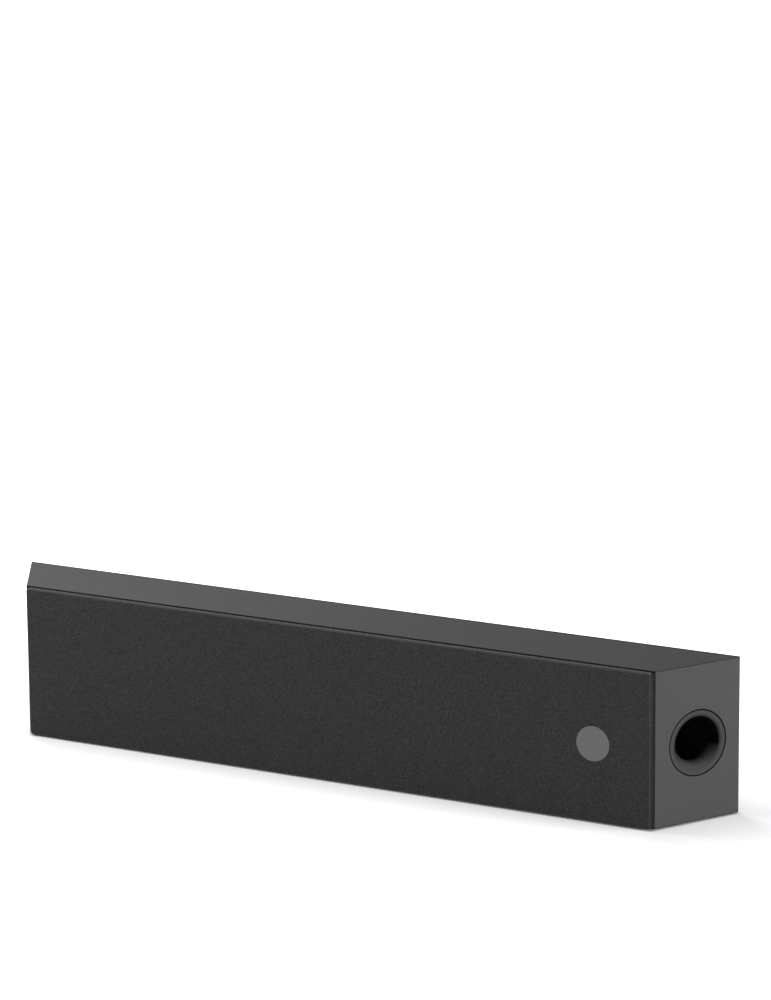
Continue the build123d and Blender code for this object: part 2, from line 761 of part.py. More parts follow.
def module_screws():
    """Wood screws round the plate, and machine screws through it and through the second board."""
    plate_screw = screw(wood_screw_radius, wood_screw_head_radius, wood_screw_head, rear_screw_length)
    long_screw = screw(machine_screw_radius, machine_screw_head_radius, machine_screw_head,
                       plate + machine_screw_length)
    short_screw = screw(machine_screw_radius, machine_screw_head_radius, machine_screw_head,
                        board + machine_screw_length)
    rear = [at * plate_screw for at in plate_screw_planes()]
    rear += [at * long_screw for at in standoff_planes(plate_y)]
    turn_back = Rot(180, 0, 0)
    return rear + [at * turn_back * short_screw for at in standoff_planes(power_y - board)]


def socket_places():
    """(x, z) of each socket on the plate."""
    low, high = middle_z - plate_height / 2 + inlet_from_edge, middle_z - socket_row
    return {"power_inlet": (0, low), "hdmi_socket": (-socket_pitch, high), "optical_socket": (0, high),
            "subwoofer_socket": (socket_pitch, high)}


def button_places():
    z = middle_z + board_height / 2 - board_corner - button_below_post
    return {"power_button": (-button_pitch, z), "volume_down_button": (0, z),
            "volume_up_button": (button_pitch, z)}


def socket_noses():
    """Width and height of each square nose in the plate."""
    return {"power_inlet": (inlet_width, inlet_height), "hdmi_socket": (hdmi_width, hdmi_height),
            "optical_socket": (optical_size, optical_size)}


def at_plate(x, z):
    """Plane on the plate's outer face, with +Z into the cabinet."""
    return Plane(origin=(x, plate_y, z), x_dir=(1, 0, 0), z_dir=(0, -1, 0))


def upright(x, z, y0, y1, width, height):
    """Box round an axis that runs along Y."""
    return block(x - width / 2, x + width / 2, y0, y1, z - height / 2, z + height / 2)


def socket(name, shell, well):
    """Socket body between the board and the plate, its nose flush in the plate, open to the rear."""
    x, z = socket_places()[name]
    width, height = socket_noses()[name]
    step = 2 * socket_shoulder
    body = upright(x, z, board_y, plate_inner_y, width + step, height + step)
    body += upright(x, z, plate_inner_y, plate_y, width, height)
    return body - upright(x, z, plate_y - well, plate_y, width - 2 * shell, height - 2 * shell)


def power_inlet():
    x, z = socket_places()["power_inlet"]
    floor = plate_y - inlet_well
    body = socket("power_inlet", inlet_shell, inlet_well)
    for k, side in ((-1, -1), (0, 1), (1, -1)):
        body += upright(x + k * inlet_pin_pitch, z + side * inlet_pin_shift, floor, floor + inlet_pin_reach,
                        inlet_pin_width, inlet_pin_height)
    return body


def hdmi_socket():
    x, z = socket_places()["hdmi_socket"]
    tongue = upright(x, z, plate_y - hdmi_well, plate_y - hdmi_tongue_sunk, hdmi_tongue_width, hdmi_tongue)
    return socket("hdmi_socket", hdmi_shell, hdmi_well) + tongue


def optical_socket():
    return socket("optical_socket", optical_shell, optical_well)


def subwoofer_socket():
    """Jack socket with a round nose."""
    x, z = socket_places()["subwoofer_socket"]
    body = upright(x, z, board_y, plate_inner_y, jack_size, jack_size)
    body += at_plate(x, z) * rod(jack_nose_radius, 0, plate)
    return body - at_plate(x, z) * rod(jack_bore, 0, jack_well)


def connector_plate():
    body = upright(0, middle_z, plate_inner_y, plate_y, 2 * plate_half_width, plate_height)
    body = fillet(body.edges().filter_by(Axis.Y), plate_corner)
    body -= [at_plate(x, z) * rod(button_radius + button_slip, 0, plate) for x, z in button_places().values()]
    places = socket_places()
    for name, (width, height) in socket_noses().items():
        body -= upright(*places[name], plate_inner_y, plate_y, width, height)
    body -= at_plate(*places["subwoofer_socket"]) * rod(jack_nose_radius, 0, plate)
    body -= [at * rod(wood_screw_radius, 0, plate) for at in plate_screw_planes()]
    return body - [at * rod(machine_screw_radius, 0, plate) for at in standoff_planes(plate_y)]


def circuit_board(y):
    body = upright(0, middle_z, y - board, y, 2 * board_half_width, board_height)
    return body - [at * rod(machine_screw_radius, 0, board) for at in standoff_planes(y)]


def amplifier_chips():
    """Two power packages on the front of the first board."""
    y = board_y - board
    return [upright(x, middle_z, y - chip_height, y, chip, chip) for x in (-chip_pitch, chip_pitch)]


def heat_sink():
    """Finned block clamped on the power packages."""
    y = board_y - board - chip_height
    body = upright(0, middle_z, y - sink_base, y, 2 * sink_half_width, sink_height)
    pitch = (2 * sink_half_width - sink_fin) / (sink_fins - 1)
    for k in range(sink_fins):
        x = (k - (sink_fins - 1) / 2) * pitch
        body += upright(x, middle_z, y - sink_base - sink_fin_depth, y - sink_base, sink_fin, sink_height)
    return body


def power_transformer():
    """Ferrite core on the front of the second board, with two openings for its winding."""
    y = power_y - board
    z = middle_z - transformer_drop
    core = upright(0, z, y - transformer_depth, y, transformer_width, transformer_height)
    return core - [upright(x, z, y - transformer_depth, y, winding_width, winding_height)
                   for x in (-winding_x, winding_x)]


def power_capacitors():
    can = Plane(origin=(0, power_y - board, 0), x_dir=(1, 0, 0), z_dir=(0, -1, 0))
    body = fillet((can * rod(capacitor_radius, 0, capacitor_height)).edges(), capacitor_round)
    return [Pos(x, 0, middle_z + capacitor_rise) * body for x in (-capacitor_pitch, 0, capacitor_pitch)]


def button_switches():
    return [upright(x, z, board_y, board_y + switch_height, switch_size, switch_size)
            for x, z in button_places().values()]


def push_button(x, z):
    """Cap in the plate, retaining flange behind it and a stem to the switch."""
    behind = plate + button_slip
    stem_end = plate + board_standoff - switch_height - button_travel - button_slip
    top = button_radius - button_chamfer
    cap = turned((0, -button_proud), (top, -button_proud), (button_radius, button_chamfer - button_proud),
                 (button_radius, behind), (button_flange_radius, behind),
                 (button_flange_radius, behind + button_flange), (button_stem_radius, behind + button_flange),
                 (button_stem_radius, stem_end), (0, stem_end))
    return at_plate(x, z) * cap


# ---- remote-control eye behind the grille ----
def sensor_screw_planes():
    return [facing(x, baffle_y - sensor_board, middle_z) for x in (-sensor_screw_x, sensor_screw_x)]


def sensor_circuit():
    half_x, half_z = sensor_half_width, sensor_half_height
    body = block(-half_x, half_x, baffle_y - sensor_board, baffle_y, middle_z - half_z, middle_z + half_z)
    return body - [at * rod(wood_screw_radius, 0, sensor_board) for at in sensor_screw_planes()]


def sensor_lenses():
    """Infrared receiver and status light."""
    places = [(-lens_pitch / 2, lens_radius), (lens_pitch / 2, light_radius)]
    lenses = []
    for x, radius in places:
        at = facing(x, baffle_y - sensor_board, middle_z)
        lenses.append(at * fillet(rod(radius, -lens_proud, 0).edges().sort_by(Axis.Z)[0], radius * 0.5))
    return lenses


def baffle_screws():
    """Wood screws of the drivers and of the remote-control eye."""
    sizes = wood_screw_radius, wood_screw_head_radius, wood_screw_head
    driver_screw = screw(*sizes, wood_screw_length)
    eye_screw = screw(*sizes, sensor_screw_length)
    places = woofer_screw_planes() + tweeter_screw_planes()
    return [at * driver_screw for at in places] + [at * eye_screw for at in sensor_screw_planes()]


# ---- wiring ----
def wire_holes(x):
    """Slot low in a divider or brace that the speaker wires pass through."""
    return block(x - wall, x + wall, wire_y - wire_slot_depth / 2, wire_y + wire_slot_depth / 2,
                 wire_z - wire_slot_height / 2, wire_z + wire_slot_height / 2)


def terminal_blocks():
    """Plug blocks on the first board that the speaker wires leave downwards."""
    y, z = board_y - board, middle_z - terminal_drop
    right = block(terminal_x - terminal_length / 2, terminal_x + terminal_length / 2, y - terminal_depth, y,
                  z - terminal_height / 2, z + terminal_height / 2)
    return both_sides(right)


def cord(*points):
    """Round wire along a route, with each corner as large an arc as its two runs allow."""
    corners = [Vector(*point) for point in points]
    runs = [b - a for a, b in zip(corners, corners[1:])]
    radii = [0.45 * min(a.length, b.length) / tan(radians(a.get_angle(b)) / 2)
             for a, b in zip(runs, runs[1:])]
    path = FilletPolyline(*corners, radius=radii)
    solid = sweep(Plane(origin=corners[0], z_dir=runs[0]) * Circle(wire_radius), path=path)
    expected = pi * wire_radius ** 2 * path.length
    print("wire", round(path.length), "mm, least radius", round(min(radii), 1),
          "volume ratio", round(solid.volume / expected, 3))
    return solid


def speaker_wires():
    """One pair from the right-hand plug block to each driver of the right half."""
    top = middle_z - terminal_drop - terminal_height / 2
    x, y, z = terminal_x, wire_y, wire_z
    near, middle, far = x - wire_pitch, x, x + wire_pitch
    front, back = y - wire_spread, y + wire_spread
    woofer_tab_y = baffle_y + tab_front + tab_depth / 2
    woofer_tab_z = middle_z - basket_tab_span()[1]
    tweeter_tab_y = baffle_y + tweeter_motor_end - tab_depth / 2
    tweeter_tab_z = middle_z - tweeter_motor_radius - tab_reach
    inner, high, outer = inner_woofer_x, tweeter_x, outer_woofer_x
    to_inner = cord((near, front, top), (near, front, z), (inner - 44, front - 1, z - 0.5),
                    (inner - 14, front - 9, z), (inner, woofer_tab_y, z + 0.5),
                    (inner, woofer_tab_y, woofer_tab_z))
    to_tweeter = cord((middle, y, top), (middle, y, z), (middle + 44, y - 1, z - 0.5),
                      (inner + 14, y - 4, z + 0.5), (high - 35, y - 18, z), (high - 16, tweeter_tab_y, z + 1),
                      (high, tweeter_tab_y, z + 6), (high, tweeter_tab_y, tweeter_tab_z))
    to_outer = cord((far, back, top), (far, back, z), (far + 42, back + 0.5, z), (inner + 20, y + 3, z - 0.5),
                    (high, y + 2, z + 0.2), (outer - 33, y - 4, z - 0.4), (outer - 13, y - 14, z),
                    (outer, woofer_tab_y, z + 1), (outer, woofer_tab_y, woofer_tab_z))
    return to_inner, to_tweeter, to_outer


def sensor_lead():
    """Short lead from the remote-control eye, through the baffle, to the second board."""
    z = middle_z
    return cord((0, baffle_y, z), (0, baffle_back_y + 2, z + 1), (3, (baffle_back_y + power_y) / 2, z + 3),
                (3, power_y - board, z + 4))


def write(name, *shapes):
    solids = [solid for shape in shapes for solid in shape.solids()]
    whole = solids[0] if len(solids) == 1 else Compound(children=solids)
    export_step(whole, f"parts/{name}.step")


def both_sides(*shapes):
    """The right-hand shapes and their mirror images on the left."""
    return [*shapes, *[mirror(shape, about=Plane.YZ) for shape in shapes]]


def write_pair(name, shape):
    """The same piece on the right, and mirrored on the left."""
    write("right_" + name, shape)
    write("left_" + name, mirror(shape, about=Plane.YZ))


def main():
    os.makedirs("parts", exist_ok=True)
    write("top_panel", top_panel())
    write("bottom_panel", bottom_panel())
    write_pair("end_panel", right_end_panel())
    write("front_baffle", front_baffle())
    write("rear_panel", rear_panel())
    write("bay_dividers", *both_sides(divider()))
    write("cabinet_braces", *both_sides(brace()))
    write("damping_foam", *both_sides(*damping_foam()))
    write("rubber_pads", *pads())
    write("wall_inserts", *wall_inserts())
    write_pair("port_mouth", port_flare_insert())
    write_pair("port_tube", port_tube())
    write("grille_frame", grille_frame())
    write("grille_cloth", grille_cloth())
    write("grille_badge", grille_badge())
    write("grille_pins", *grille_pins())
    write("grille_grommets", *grille_grommets())
    for k, x in enumerate(woofer_xs, 1):
        write(f"woofer_{k}_basket", *at_woofer(x, woofer_basket()))
        write(f"woofer_{k}_cone", *at_woofer(x, woofer_cone()))
        write(f"woofer_{k}_surround", *at_woofer(x, woofer_surround()))
    write("woofer_motors", *[piece for x in woofer_xs for piece in at_woofer(x, woofer_motor())])
    write("woofer_spiders", *[piece for x in woofer_xs for piece in at_woofer(x, woofer_spider())])
    for k, x in enumerate(tweeter_xs, 1):
        write(f"tweeter_{k}_faceplate", *at_woofer(x, tweeter_faceplate()))
        write(f"tweeter_{k}_dome", *at_woofer(x, tweeter_dome()))
    write("tweeter_motors", *[piece for x in tweeter_xs for piece in at_woofer(x, tweeter_motor())])
    write("tweeter_surrounds", *[piece for x in tweeter_xs for piece in at_woofer(x, tweeter_surround())])
    write("baffle_screws", *baffle_screws())
    write("connector_plate", connector_plate())
    write("power_inlet", power_inlet())
    write("hdmi_socket", hdmi_socket())
    write("optical_socket", optical_socket())
    write("subwoofer_socket", subwoofer_socket())
    write("amplifier_board", circuit_board(board_y))
    write("power_board", circuit_board(power_y))
    write("heat_sink", heat_sink())
    write("power_transformer", power_transformer())
    write("power_capacitors", *power_capacitors())
    write("board_components", *amplifier_chips(), *button_switches(), *terminal_blocks())
    for name, (x, z) in button_places().items():
        write(name, push_button(x, z))
    write("board_standoffs", *board_standoffs())
    write("module_screws", *module_screws())
    write("sensor_board", sensor_circuit())
    write("sensor_lenses", *sensor_lenses())
    write("internal_wires", *both_sides(*speaker_wires()), sensor_lead())


main()
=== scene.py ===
"""Looks of an active soundbar: finishes, grille cloth, fixings and a plain studio round its frame."""
from math import copysign, cos, pi, radians, sin, tau

import bmesh
import bpy
from bpy.props import FloatProperty, FloatVectorProperty, IntProperty, PointerProperty
from mathutils import Matrix, Vector, noise


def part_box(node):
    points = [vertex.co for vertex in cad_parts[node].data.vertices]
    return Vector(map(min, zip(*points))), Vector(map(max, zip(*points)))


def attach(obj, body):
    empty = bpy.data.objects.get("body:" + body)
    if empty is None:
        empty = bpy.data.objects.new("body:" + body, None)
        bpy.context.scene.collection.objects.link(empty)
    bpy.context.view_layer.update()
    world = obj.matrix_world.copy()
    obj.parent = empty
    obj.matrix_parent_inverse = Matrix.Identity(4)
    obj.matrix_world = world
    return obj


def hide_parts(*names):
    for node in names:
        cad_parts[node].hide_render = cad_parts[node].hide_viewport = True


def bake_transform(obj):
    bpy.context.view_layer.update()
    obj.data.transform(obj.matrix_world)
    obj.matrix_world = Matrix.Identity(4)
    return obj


bl_info = {
    "name": "Soundbar looks",
    "version": (1, 0, 0),
    "blender": (4, 5, 0),
    "location": "View3D > Sidebar > Soundbar",
    "description": "Finishes, grille cloth, fixings and studio of an active soundbar",
    "category": "Object",
}

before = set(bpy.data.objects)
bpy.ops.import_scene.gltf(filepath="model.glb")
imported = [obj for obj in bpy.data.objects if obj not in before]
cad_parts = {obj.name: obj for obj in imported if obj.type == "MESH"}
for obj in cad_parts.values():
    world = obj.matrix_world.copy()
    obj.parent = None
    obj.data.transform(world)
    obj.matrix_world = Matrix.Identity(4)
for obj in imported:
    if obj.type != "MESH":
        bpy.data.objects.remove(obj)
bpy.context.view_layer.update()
MM = 0.001
FAR = 1.0  # past the bar on every side
SAME = 1e-6  # distance at which two points are one


# ---- settings ----
def length(name, description, default):
    return FloatProperty(name=name, description=description, default=default * MM, unit="LENGTH",
                         precision=5)


def share(name, description, default):
    return FloatProperty(name=name, description=description, default=default, min=0.0, max=1.0,
                         subtype="FACTOR")


def tone(name, description, *default):
    return FloatVectorProperty(name=name, description=description, default=default, size=3,
                               min=0.0, max=1.0, subtype="COLOR")


def grey(name, description, level):
    return tone(name, description, level, level, level)


def angle(name, description, degrees):
    return FloatProperty(name=name, description=description, default=radians(degrees), subtype="ANGLE")


def power(name, description, default):
    return FloatProperty(name=name, description=description, default=default, unit="POWER")


def number(name, description, default, least):
    return IntProperty(name=name, description=description, default=default, min=least)


class SoundbarCabinetSettings(bpy.types.PropertyGroup):
    lacquer: grey("Lacquer", "Satin black lacquer of the cabinet", 0.075)
    lacquer_roughness: share("Lacquer roughness", "Roughness of the satin lacquer", 0.65)
    peel: length("Orange peel", "Depth of the lacquer's fine ripple", 0.012)
    peel_size: length("Ripple size", "Distance between ripples of the lacquer", 1.6)
    # Painted shade: width of the dark lines painted along the cabinet's edges and round each port's mouth.
    shade_line: length("Painted shade line", "Width of the dark line where panels meet", 0.8)
    port: grey("Port plastic", "Moulded lip of each port", 0.066)
    # Painted shade: depth into the port at which its plastic is painted black.
    shade_depth: length("Flare depth", "Depth at which the port turns black", 1.7)
    # Painted light: how far into the port the lower wall is painted paler, as if lit from above.
    dust: length("Painted light depth", "Depth to which pale dust lies on the port's lower wall", 15.0)
    board: tone("Bare fibreboard", "Cut faces inside the cabinet", 0.36, 0.25, 0.15)


class SoundbarGrilleSettings(bpy.types.PropertyGroup):
    thickness: length("Cloth thickness", "Thickness of the stretched cloth", 0.6)
    corner: length("Corner", "Radius of the grille's four corners", 3.5)
    rounding: length("Rounding", "Radius of the cloth over the frame's front edge", 2.2)
    wrap: length("Turned strip", "Width of the strip turned over the back of the frame", 8.0)
    shadow: length("Shaded hem", "Width of the cloth that lies in the shade beside the cabinet", 1.5)
    pitch: length("Thread pitch", "Distance between neighbouring threads", 0.5)
    rib: length("Rib pitch", "Distance between the ribs that show where the cloth bends", 2.1)
    thread: grey("Thread", "Lit threads of the cloth", 0.035)
    gap: grey("Between threads", "Dark hollows between the threads", 0.008)
    # Also the colour of the painted highlights where the cloth bends over the frame.
    slub_and_highlight: grey("Slubs", "Pale specks of thicker yarn", 0.12)
    slub_size: length("Slub size", "Length over which the yarn keeps its tint", 0.7)
    cell: length("Mesh cell", "Spacing of the cloth's modelled folds", 6.0)
    badge: grey("Badge", "Satin metal of the bare badge", 0.104)


class SoundbarDriverSettings(bpy.types.PropertyGroup):
    cone: grey("Cone", "Pressed paper of the woofer cones", 0.030)
    dome: grey("Dome", "Coated silk of the tweeter domes", 0.022)
    basket: grey("Basket", "Powder coat of the woofer baskets", 0.028)
    spider: tone("Spider", "Impregnated cloth that centres the coils", 0.42, 0.22, 0.06)
    land: length("Glued lip", "Width of each glued lip of a woofer's surround", 3.0)
    sectors: number("Sectors", "Parts of a surround that stretch on their own", 12, 3)
    screw_head: length("Screw head", "Height of the head of each screw", 1.6)
    recess: share("Screw recess", "Width of the cross recess as a share of the screw head", 0.62)


class SoundbarRearSettings(bpy.types.PropertyGroup):
    plate: grey("Plate", "Black anodised connector plate", 0.026)
    pin_pitch: length("Pin pitch", "Distance between the power inlet's pins", 7.0)
    mark_proud: length("Mark height", "Raised marks on the button caps", 0.18)
    mark_size: length("Mark size", "Length of the marks' bars", 3.6)
    mark_width: length("Mark width", "Width of the marks' bars", 0.55)
    solder_mask: tone("Circuit board", "Lacquer of the circuit boards", 0.012, 0.085, 0.035)
    parts: number("Small parts", "Chip parts on each circuit board", 40, 0)


class SoundbarStageSettings(bpy.types.PropertyGroup):
    azimuth: angle("Azimuth", "Camera's turn round the bar, to the right of its front", 28.69)
    elevation: angle("Elevation", "Camera's height above the horizon", 13.67)
    roll: angle("Roll", "Camera's tilt about its own axis", -0.49)
    distance: length("Distance", "From the camera to the point that it looks at", 4036.0)
    aim_from_end: length("Aim from end", "Point looked at, inwards from the front edge's right end", 275.9)
    aim_height: length("Aim height", "Point looked at, above the surface", 279.2)
    lens: FloatProperty(name="Lens", description="Focal length on a 36 mm sensor", default=157.35,
                        unit="CAMERA")
    ambient: share("Ambient", "Strength of the light from all round", 0.10)
    floor: grey("Floor", "Colour of the pale floor", 0.85)
    floor_glow: share("Floor lift", "Part of the floor's white that shadows don't reach", 0.37)
    floor_near: length("Contact shade", "Width of the strip round the bar where the lift fades out", 3.0)
    floor_fade: length("Floor fade", "Distance at which the floor is plain white", 190.0)
    overhead: power("Overhead light", "Power of the small light above the bar's left half", 5.0)
    back: power("Back light", "Power of the light behind the bar's left end", 15.0)
    front: power("Front light", "Power of the low light in front", 15.0)
    strip: power("Strip light", "Power of the narrow light along the front edge", 1.5)
    side: power("Side light", "Power of the soft light to the right", 42.0)
    near: power("End light", "Power of the small light close to the right end", 1.0)


SETTINGS = {
    "soundbar_cabinet": SoundbarCabinetSettings,
    "soundbar_grille": SoundbarGrilleSettings,
    "soundbar_drivers": SoundbarDriverSettings,
    "soundbar_rear": SoundbarRearSettings,
    "soundbar_stage": SoundbarStageSettings,
}


# ---- node helpers ----
def feed(socket, value):
    """Links a signal to a socket, or sets the socket's own value."""
    if isinstance(value, Signal):
        socket.id_data.links.new(value.socket, socket)
    else:
        socket.default_value = value


def add(tree, kind, inputs=(), **settings):
    """Node of a kind, set up, with its inputs fed by name or by number."""
    node = tree.nodes.new(kind)
    for name, value in settings.items():
        setattr(node, name, value)
    for name, value in dict(inputs).items():
        feed(node.inputs[name], value)
    return node


def calc(operation, *values):
    """Math node on signals and numbers."""
    tree = next(value.socket.id_data for value in values if isinstance(value, Signal))
    return Signal(add(tree, "ShaderNodeMath", enumerate(values), operation=operation).outputs["Value"])


class Signal:
    """Output of a node, and what is made from it. The loop below adds the signs of arithmetic."""

    def __init__(self, socket):
        self.socket = socket

    def clamped(self):
        self.socket.node.use_clamp = True
        return self

    def into(self, kind, output, inputs, **settings):
        """Output of a new node that this signal feeds first."""
        return Signal(add(self.socket.id_data, kind, {0: self, **inputs}, **settings).outputs[output])

    def split(self, kind="ShaderNodeSeparateXYZ"):
        """The three parts of a vector or a colour."""
        return [Signal(output) for output in add(self.socket.id_data, kind, {0: self}).outputs]

    def dot(self, direction):
        """How far this vector goes in a direction."""
        return self.into("ShaderNodeVectorMath", "Value", {1: direction}, operation="DOT_PRODUCT")

    def spread(self, low, high):
        """A value from 0 to 1 brought to a range."""
        return self.into("ShaderNodeMapRange", "Result", {"To Min": low, "To Max": high})

    def grain(self, size, detail=3.0):
        """Noise from 0 to 1 on this vector, whose lumps are about size apart."""
        lumps = {"Scale": 1.0 / size, "Detail": detail, "Roughness": 0.55}
        return self.into("ShaderNodeTexNoise", "Fac", lumps)

    def wave(self, pitch):
        """Rounded ridges a pitch apart, from 0 to 1."""
        return abs(calc("SINE", self * (pi / pitch)))

    def within(self, low, high):
        """1 where this vector is inside a box and 0 outside it."""
        x, y, z = [calc("COMPARE", part, (a + b) / 2, (b - a) / 2)
                   for part, a, b in zip(self.split(), low, high)]
        return x * y * z


for sign, operation in (("add", "ADD"), ("sub", "SUBTRACT"), ("mul", "MULTIPLY"), ("truediv", "DIVIDE"),
                        ("pow", "POWER"), ("gt", "GREATER_THAN"), ("abs", "ABSOLUTE")):
    setattr(Signal, f"__{sign}__", lambda *values, operation=operation: calc(operation, *values))


def most(first, *others):
    """The largest of some signals."""
    for other in others:
        first = calc("MAXIMUM", first, other)
    return first


def reach_of(a, b):
    """Distance from an axis, from the two offsets across it."""
    return calc("SQRT", a ** 2.0 + b ** 2.0)


def parts_of(color):
    """Three parts of a colour or of a grey level."""
    return (color,) * 3 if isinstance(color, float) else tuple(color)


def blend_colors(factor, first, second):
    """Mix of two colours, grey levels or colour signals."""
    node = add(factor.socket.id_data, "ShaderNodeMix", {0: factor}, data_type="RGBA")
    sockets = [socket for socket in (*node.inputs, *node.outputs) if socket.type == "RGBA"]
    for socket, value in zip(sockets, (first, second)):
        feed(socket, value if isinstance(value, Signal) else (*parts_of(value), 1.0))
    return Signal(sockets[-1])


def shade(color, factor):
    return tuple(min(1.0, c * factor) for c in parts_of(color))


class Finish:
    """Material with one Principled shader, its constants on the shader's own sockets."""

    def __init__(self, name, color, roughness, metallic=0.0, **constants):
        self.color = parts_of(color)
        self.material = bpy.data.materials.new(name)
        self.material.use_nodes = True
        self.tree = self.material.node_tree
        self.sockets = self.tree.nodes["Principled BSDF"].inputs
        constants.update(Base_Color=(*self.color, 1.0), Roughness=roughness, Metallic=metallic)
        for socket, value in constants.items():
            feed(self.sockets[socket.replace("_", " ")], value)

    def place(self, centre=(0, 0, 0), scale=(1, 1, 1), turn=(0, 0, 0)):
        """Object coordinates, measured from a centre, stretched and turned."""
        coordinates = Signal(add(self.tree, "ShaderNodeTexCoord").outputs["Object"])
        shift = {"Location": [-c * s for c, s in zip(centre, scale)], "Scale": scale, "Rotation": turn}
        return coordinates.into("ShaderNodeMapping", "Vector", shift, vector_type="POINT")

    def color_by(self, factor, first, second):
        feed(self.sockets["Base Color"], blend_colors(factor, first, second))

    def vary(self, factor, low, high):
        """Base colour between two shades of the finish's own."""
        self.color_by(factor, shade(self.color, low), shade(self.color, high))

    def tint(self, amount, color):
        """Brings the base colour to another one where the amount is 1."""
        self.color_by(amount, Signal(self.sockets["Base Color"].links[0].from_socket), color)

    def roughness_by(self, factor, low, high):
        feed(self.sockets["Roughness"], factor.spread(low, high))

    def relief(self, height, depth, strength=1.0):
        """Bump whose full height is depth."""
        bump = add(self.tree, "ShaderNodeBump", {"Height": height, "Strength": strength, "Distance": depth})
        feed(self.sockets["Normal"], Signal(bump.outputs["Normal"]))


# ---- finishes ----
def satin_lacquer(name, color, roughness, cabinet):
    """Sprayed lacquer: fine ripple, a faint drift of tone and of gloss."""
    finish = Finish(name, color, roughness, Specular_IOR_Level=0.05)
    at = finish.place()
    finish.vary(at.grain(90 * MM), 0.93, 1.07)
    finish.roughness_by(at.grain(25 * MM), roughness - 0.03, roughness + 0.03)
    finish.relief(at.grain(cabinet.peel_size, 2.0), cabinet.peel, 0.6)
    return finish


def fine_plastic(name, color, roughness=0.5, texture=0.35 * MM, depth=0.02 * MM, **constants):
    """Moulded plastic with a spark-eroded texture."""
    finish = Finish(name, color, roughness, **constants)
    specks = finish.place().grain(texture, 2.0)
    finish.vary(specks, 0.85, 1.15)
    finish.roughness_by(specks, roughness - 0.05, roughness + 0.07)
    finish.relief(specks, depth)
    return finish


def soft_rubber(name, color=0.02):
    """Matt rubber with a trace of dust."""
    finish = Finish(name, color, 0.62, Specular_IOR_Level=0.35)
    at = finish.place()
    finish.vary(at.grain(2.5 * MM), 0.8, 1.35)
    finish.relief(at.grain(0.3 * MM), 0.02 * MM)
    return finish


def fibreboard(name, color):
    """Sawn board: matted short fibres."""
    finish = Finish(name, color, 0.85, Specular_IOR_Level=0.2)
    fibres = finish.place(scale=(1, 1, 3.5)).grain(0.9 * MM, 5.0)
    clumps = finish.place().grain(6 * MM)
    finish.vary(fibres * clumps.spread(0.7, 1.2), 0.62, 1.3)
    finish.relief(fibres, 0.08 * MM)
    return finish


def brushed_metal(name, color, roughness=0.35, along=(1, 60, 60), depth=0.006 * MM, metallic=1.0):
    """Metal with fine lines along one axis."""
    finish = Finish(name, color, roughness, metallic)
    lines = finish.place(scale=along).grain(9 * MM, 4.0)
    finish.vary(lines, 0.82, 1.15)
    finish.roughness_by(lines, roughness - 0.06, roughness + 0.1)
    finish.relief(lines, depth)
    return finish


def turned_face(name, color, roughness, centre, ring=0.35 * MM):
    """Coated face turned on a lathe: rings about an axis along Y."""
    finish = Finish(name, color, roughness)
    at = finish.place(centre)
    x, _, z = at.split()
    drift = at.grain(3 * MM) * ring
    rings = calc("SINE", (reach_of(x, z) + drift) * (tau / ring)).spread(0.5, 1.0)
    finish.vary(rings, 0.9, 1.06)
    finish.roughness_by(at.grain(4 * MM), roughness - 0.03, roughness + 0.05)
    finish.relief(rings, 0.004 * MM)
    return finish


def woven_cloth(name, grille, size):
    """Fine plain weave on the cloth's own cut, with slubs, painted highlights at the bent edges, painted
    shade at the sides.
    """
    finish = Finish(name, grille.thread, 0.9, Specular_IOR_Level=0.2, Sheen_Weight=0.15,
                    Sheen_Roughness=0.4)
    cut = Signal(add(finish.tree, "ShaderNodeUVMap", uv_map="cut").outputs["UV"])
    across, up, _ = cut.split()
    knots = across.wave(grille.pitch) * up.wave(grille.pitch)
    top_bend = up > size.z / 2 - 0.7 * grille.rounding
    bend_starts = abs(across) > size.x / 2 - 0.8 * grille.rounding
    bend_ends = abs(across) > size.x / 2 - 0.3 * grille.rounding
    # Rows of dots where the cloth bends over the frame: the weave opening there, painted pale as highlights.
    end_rib_highlights = up.wave(grille.rib) * ((bend_starts - bend_ends) * 0.6)
    rib_highlights = most(across.wave(grille.rib) * top_bend, end_rib_highlights) ** 2.0
    # Painted shade on the cloth's sides and on the strip that lies beside the cabinet.
    painted_shade = most(abs(up) > size.z / 2 + size.y - grille.shadow, bend_ends * 0.95)
    yarn = cut.into("ShaderNodeTexVoronoi", "Color", {"Scale": 1 / grille.slub_size}, feature="F1")
    tints, picks, _ = yarn.split("ShaderNodeSeparateColor")
    slubs = (picks > 0.97) * 0.4
    finish.color_by(knots * tints.spread(0.35, 1.65), grille.gap, shade(grille.thread, 2.2))
    # Slubs and the painted highlights at the bends, in one pale colour.
    finish.tint(most(slubs, rib_highlights), grille.slub_and_highlight)
    # Painted shade, in the colour of the hollows between threads.
    finish.tint(painted_shade, grille.gap)
    finish.relief(knots + cut.grain(0.5 * MM, 1.0), 0.2 * grille.pitch)
    return finish


def pressed_paper(name, color, centre):
    """Felted pulp: fine fibres in soft clumps."""
    finish = Finish(name, color, 0.72, Specular_IOR_Level=0.3)
    at = finish.place(centre)
    pulp = at.grain(0.8 * MM, 5.0)
    finish.vary(pulp * at.grain(5 * MM).spread(0.7, 1.3), 0.6, 1.5)
    finish.relief(pulp, 0.06 * MM)
    return finish


def knit(name, color, pitch=0.3 * MM, depth=0.03 * MM):
    """Small even weave, for domes and spiders."""
    finish = Finish(name, color, 0.75, Sheen_Weight=0.15)
    x, _, z = finish.place().split()
    threads = x.wave(pitch) * z.wave(pitch)
    finish.vary(threads, 0.55, 1.3)
    finish.relief(threads, depth)
    return finish


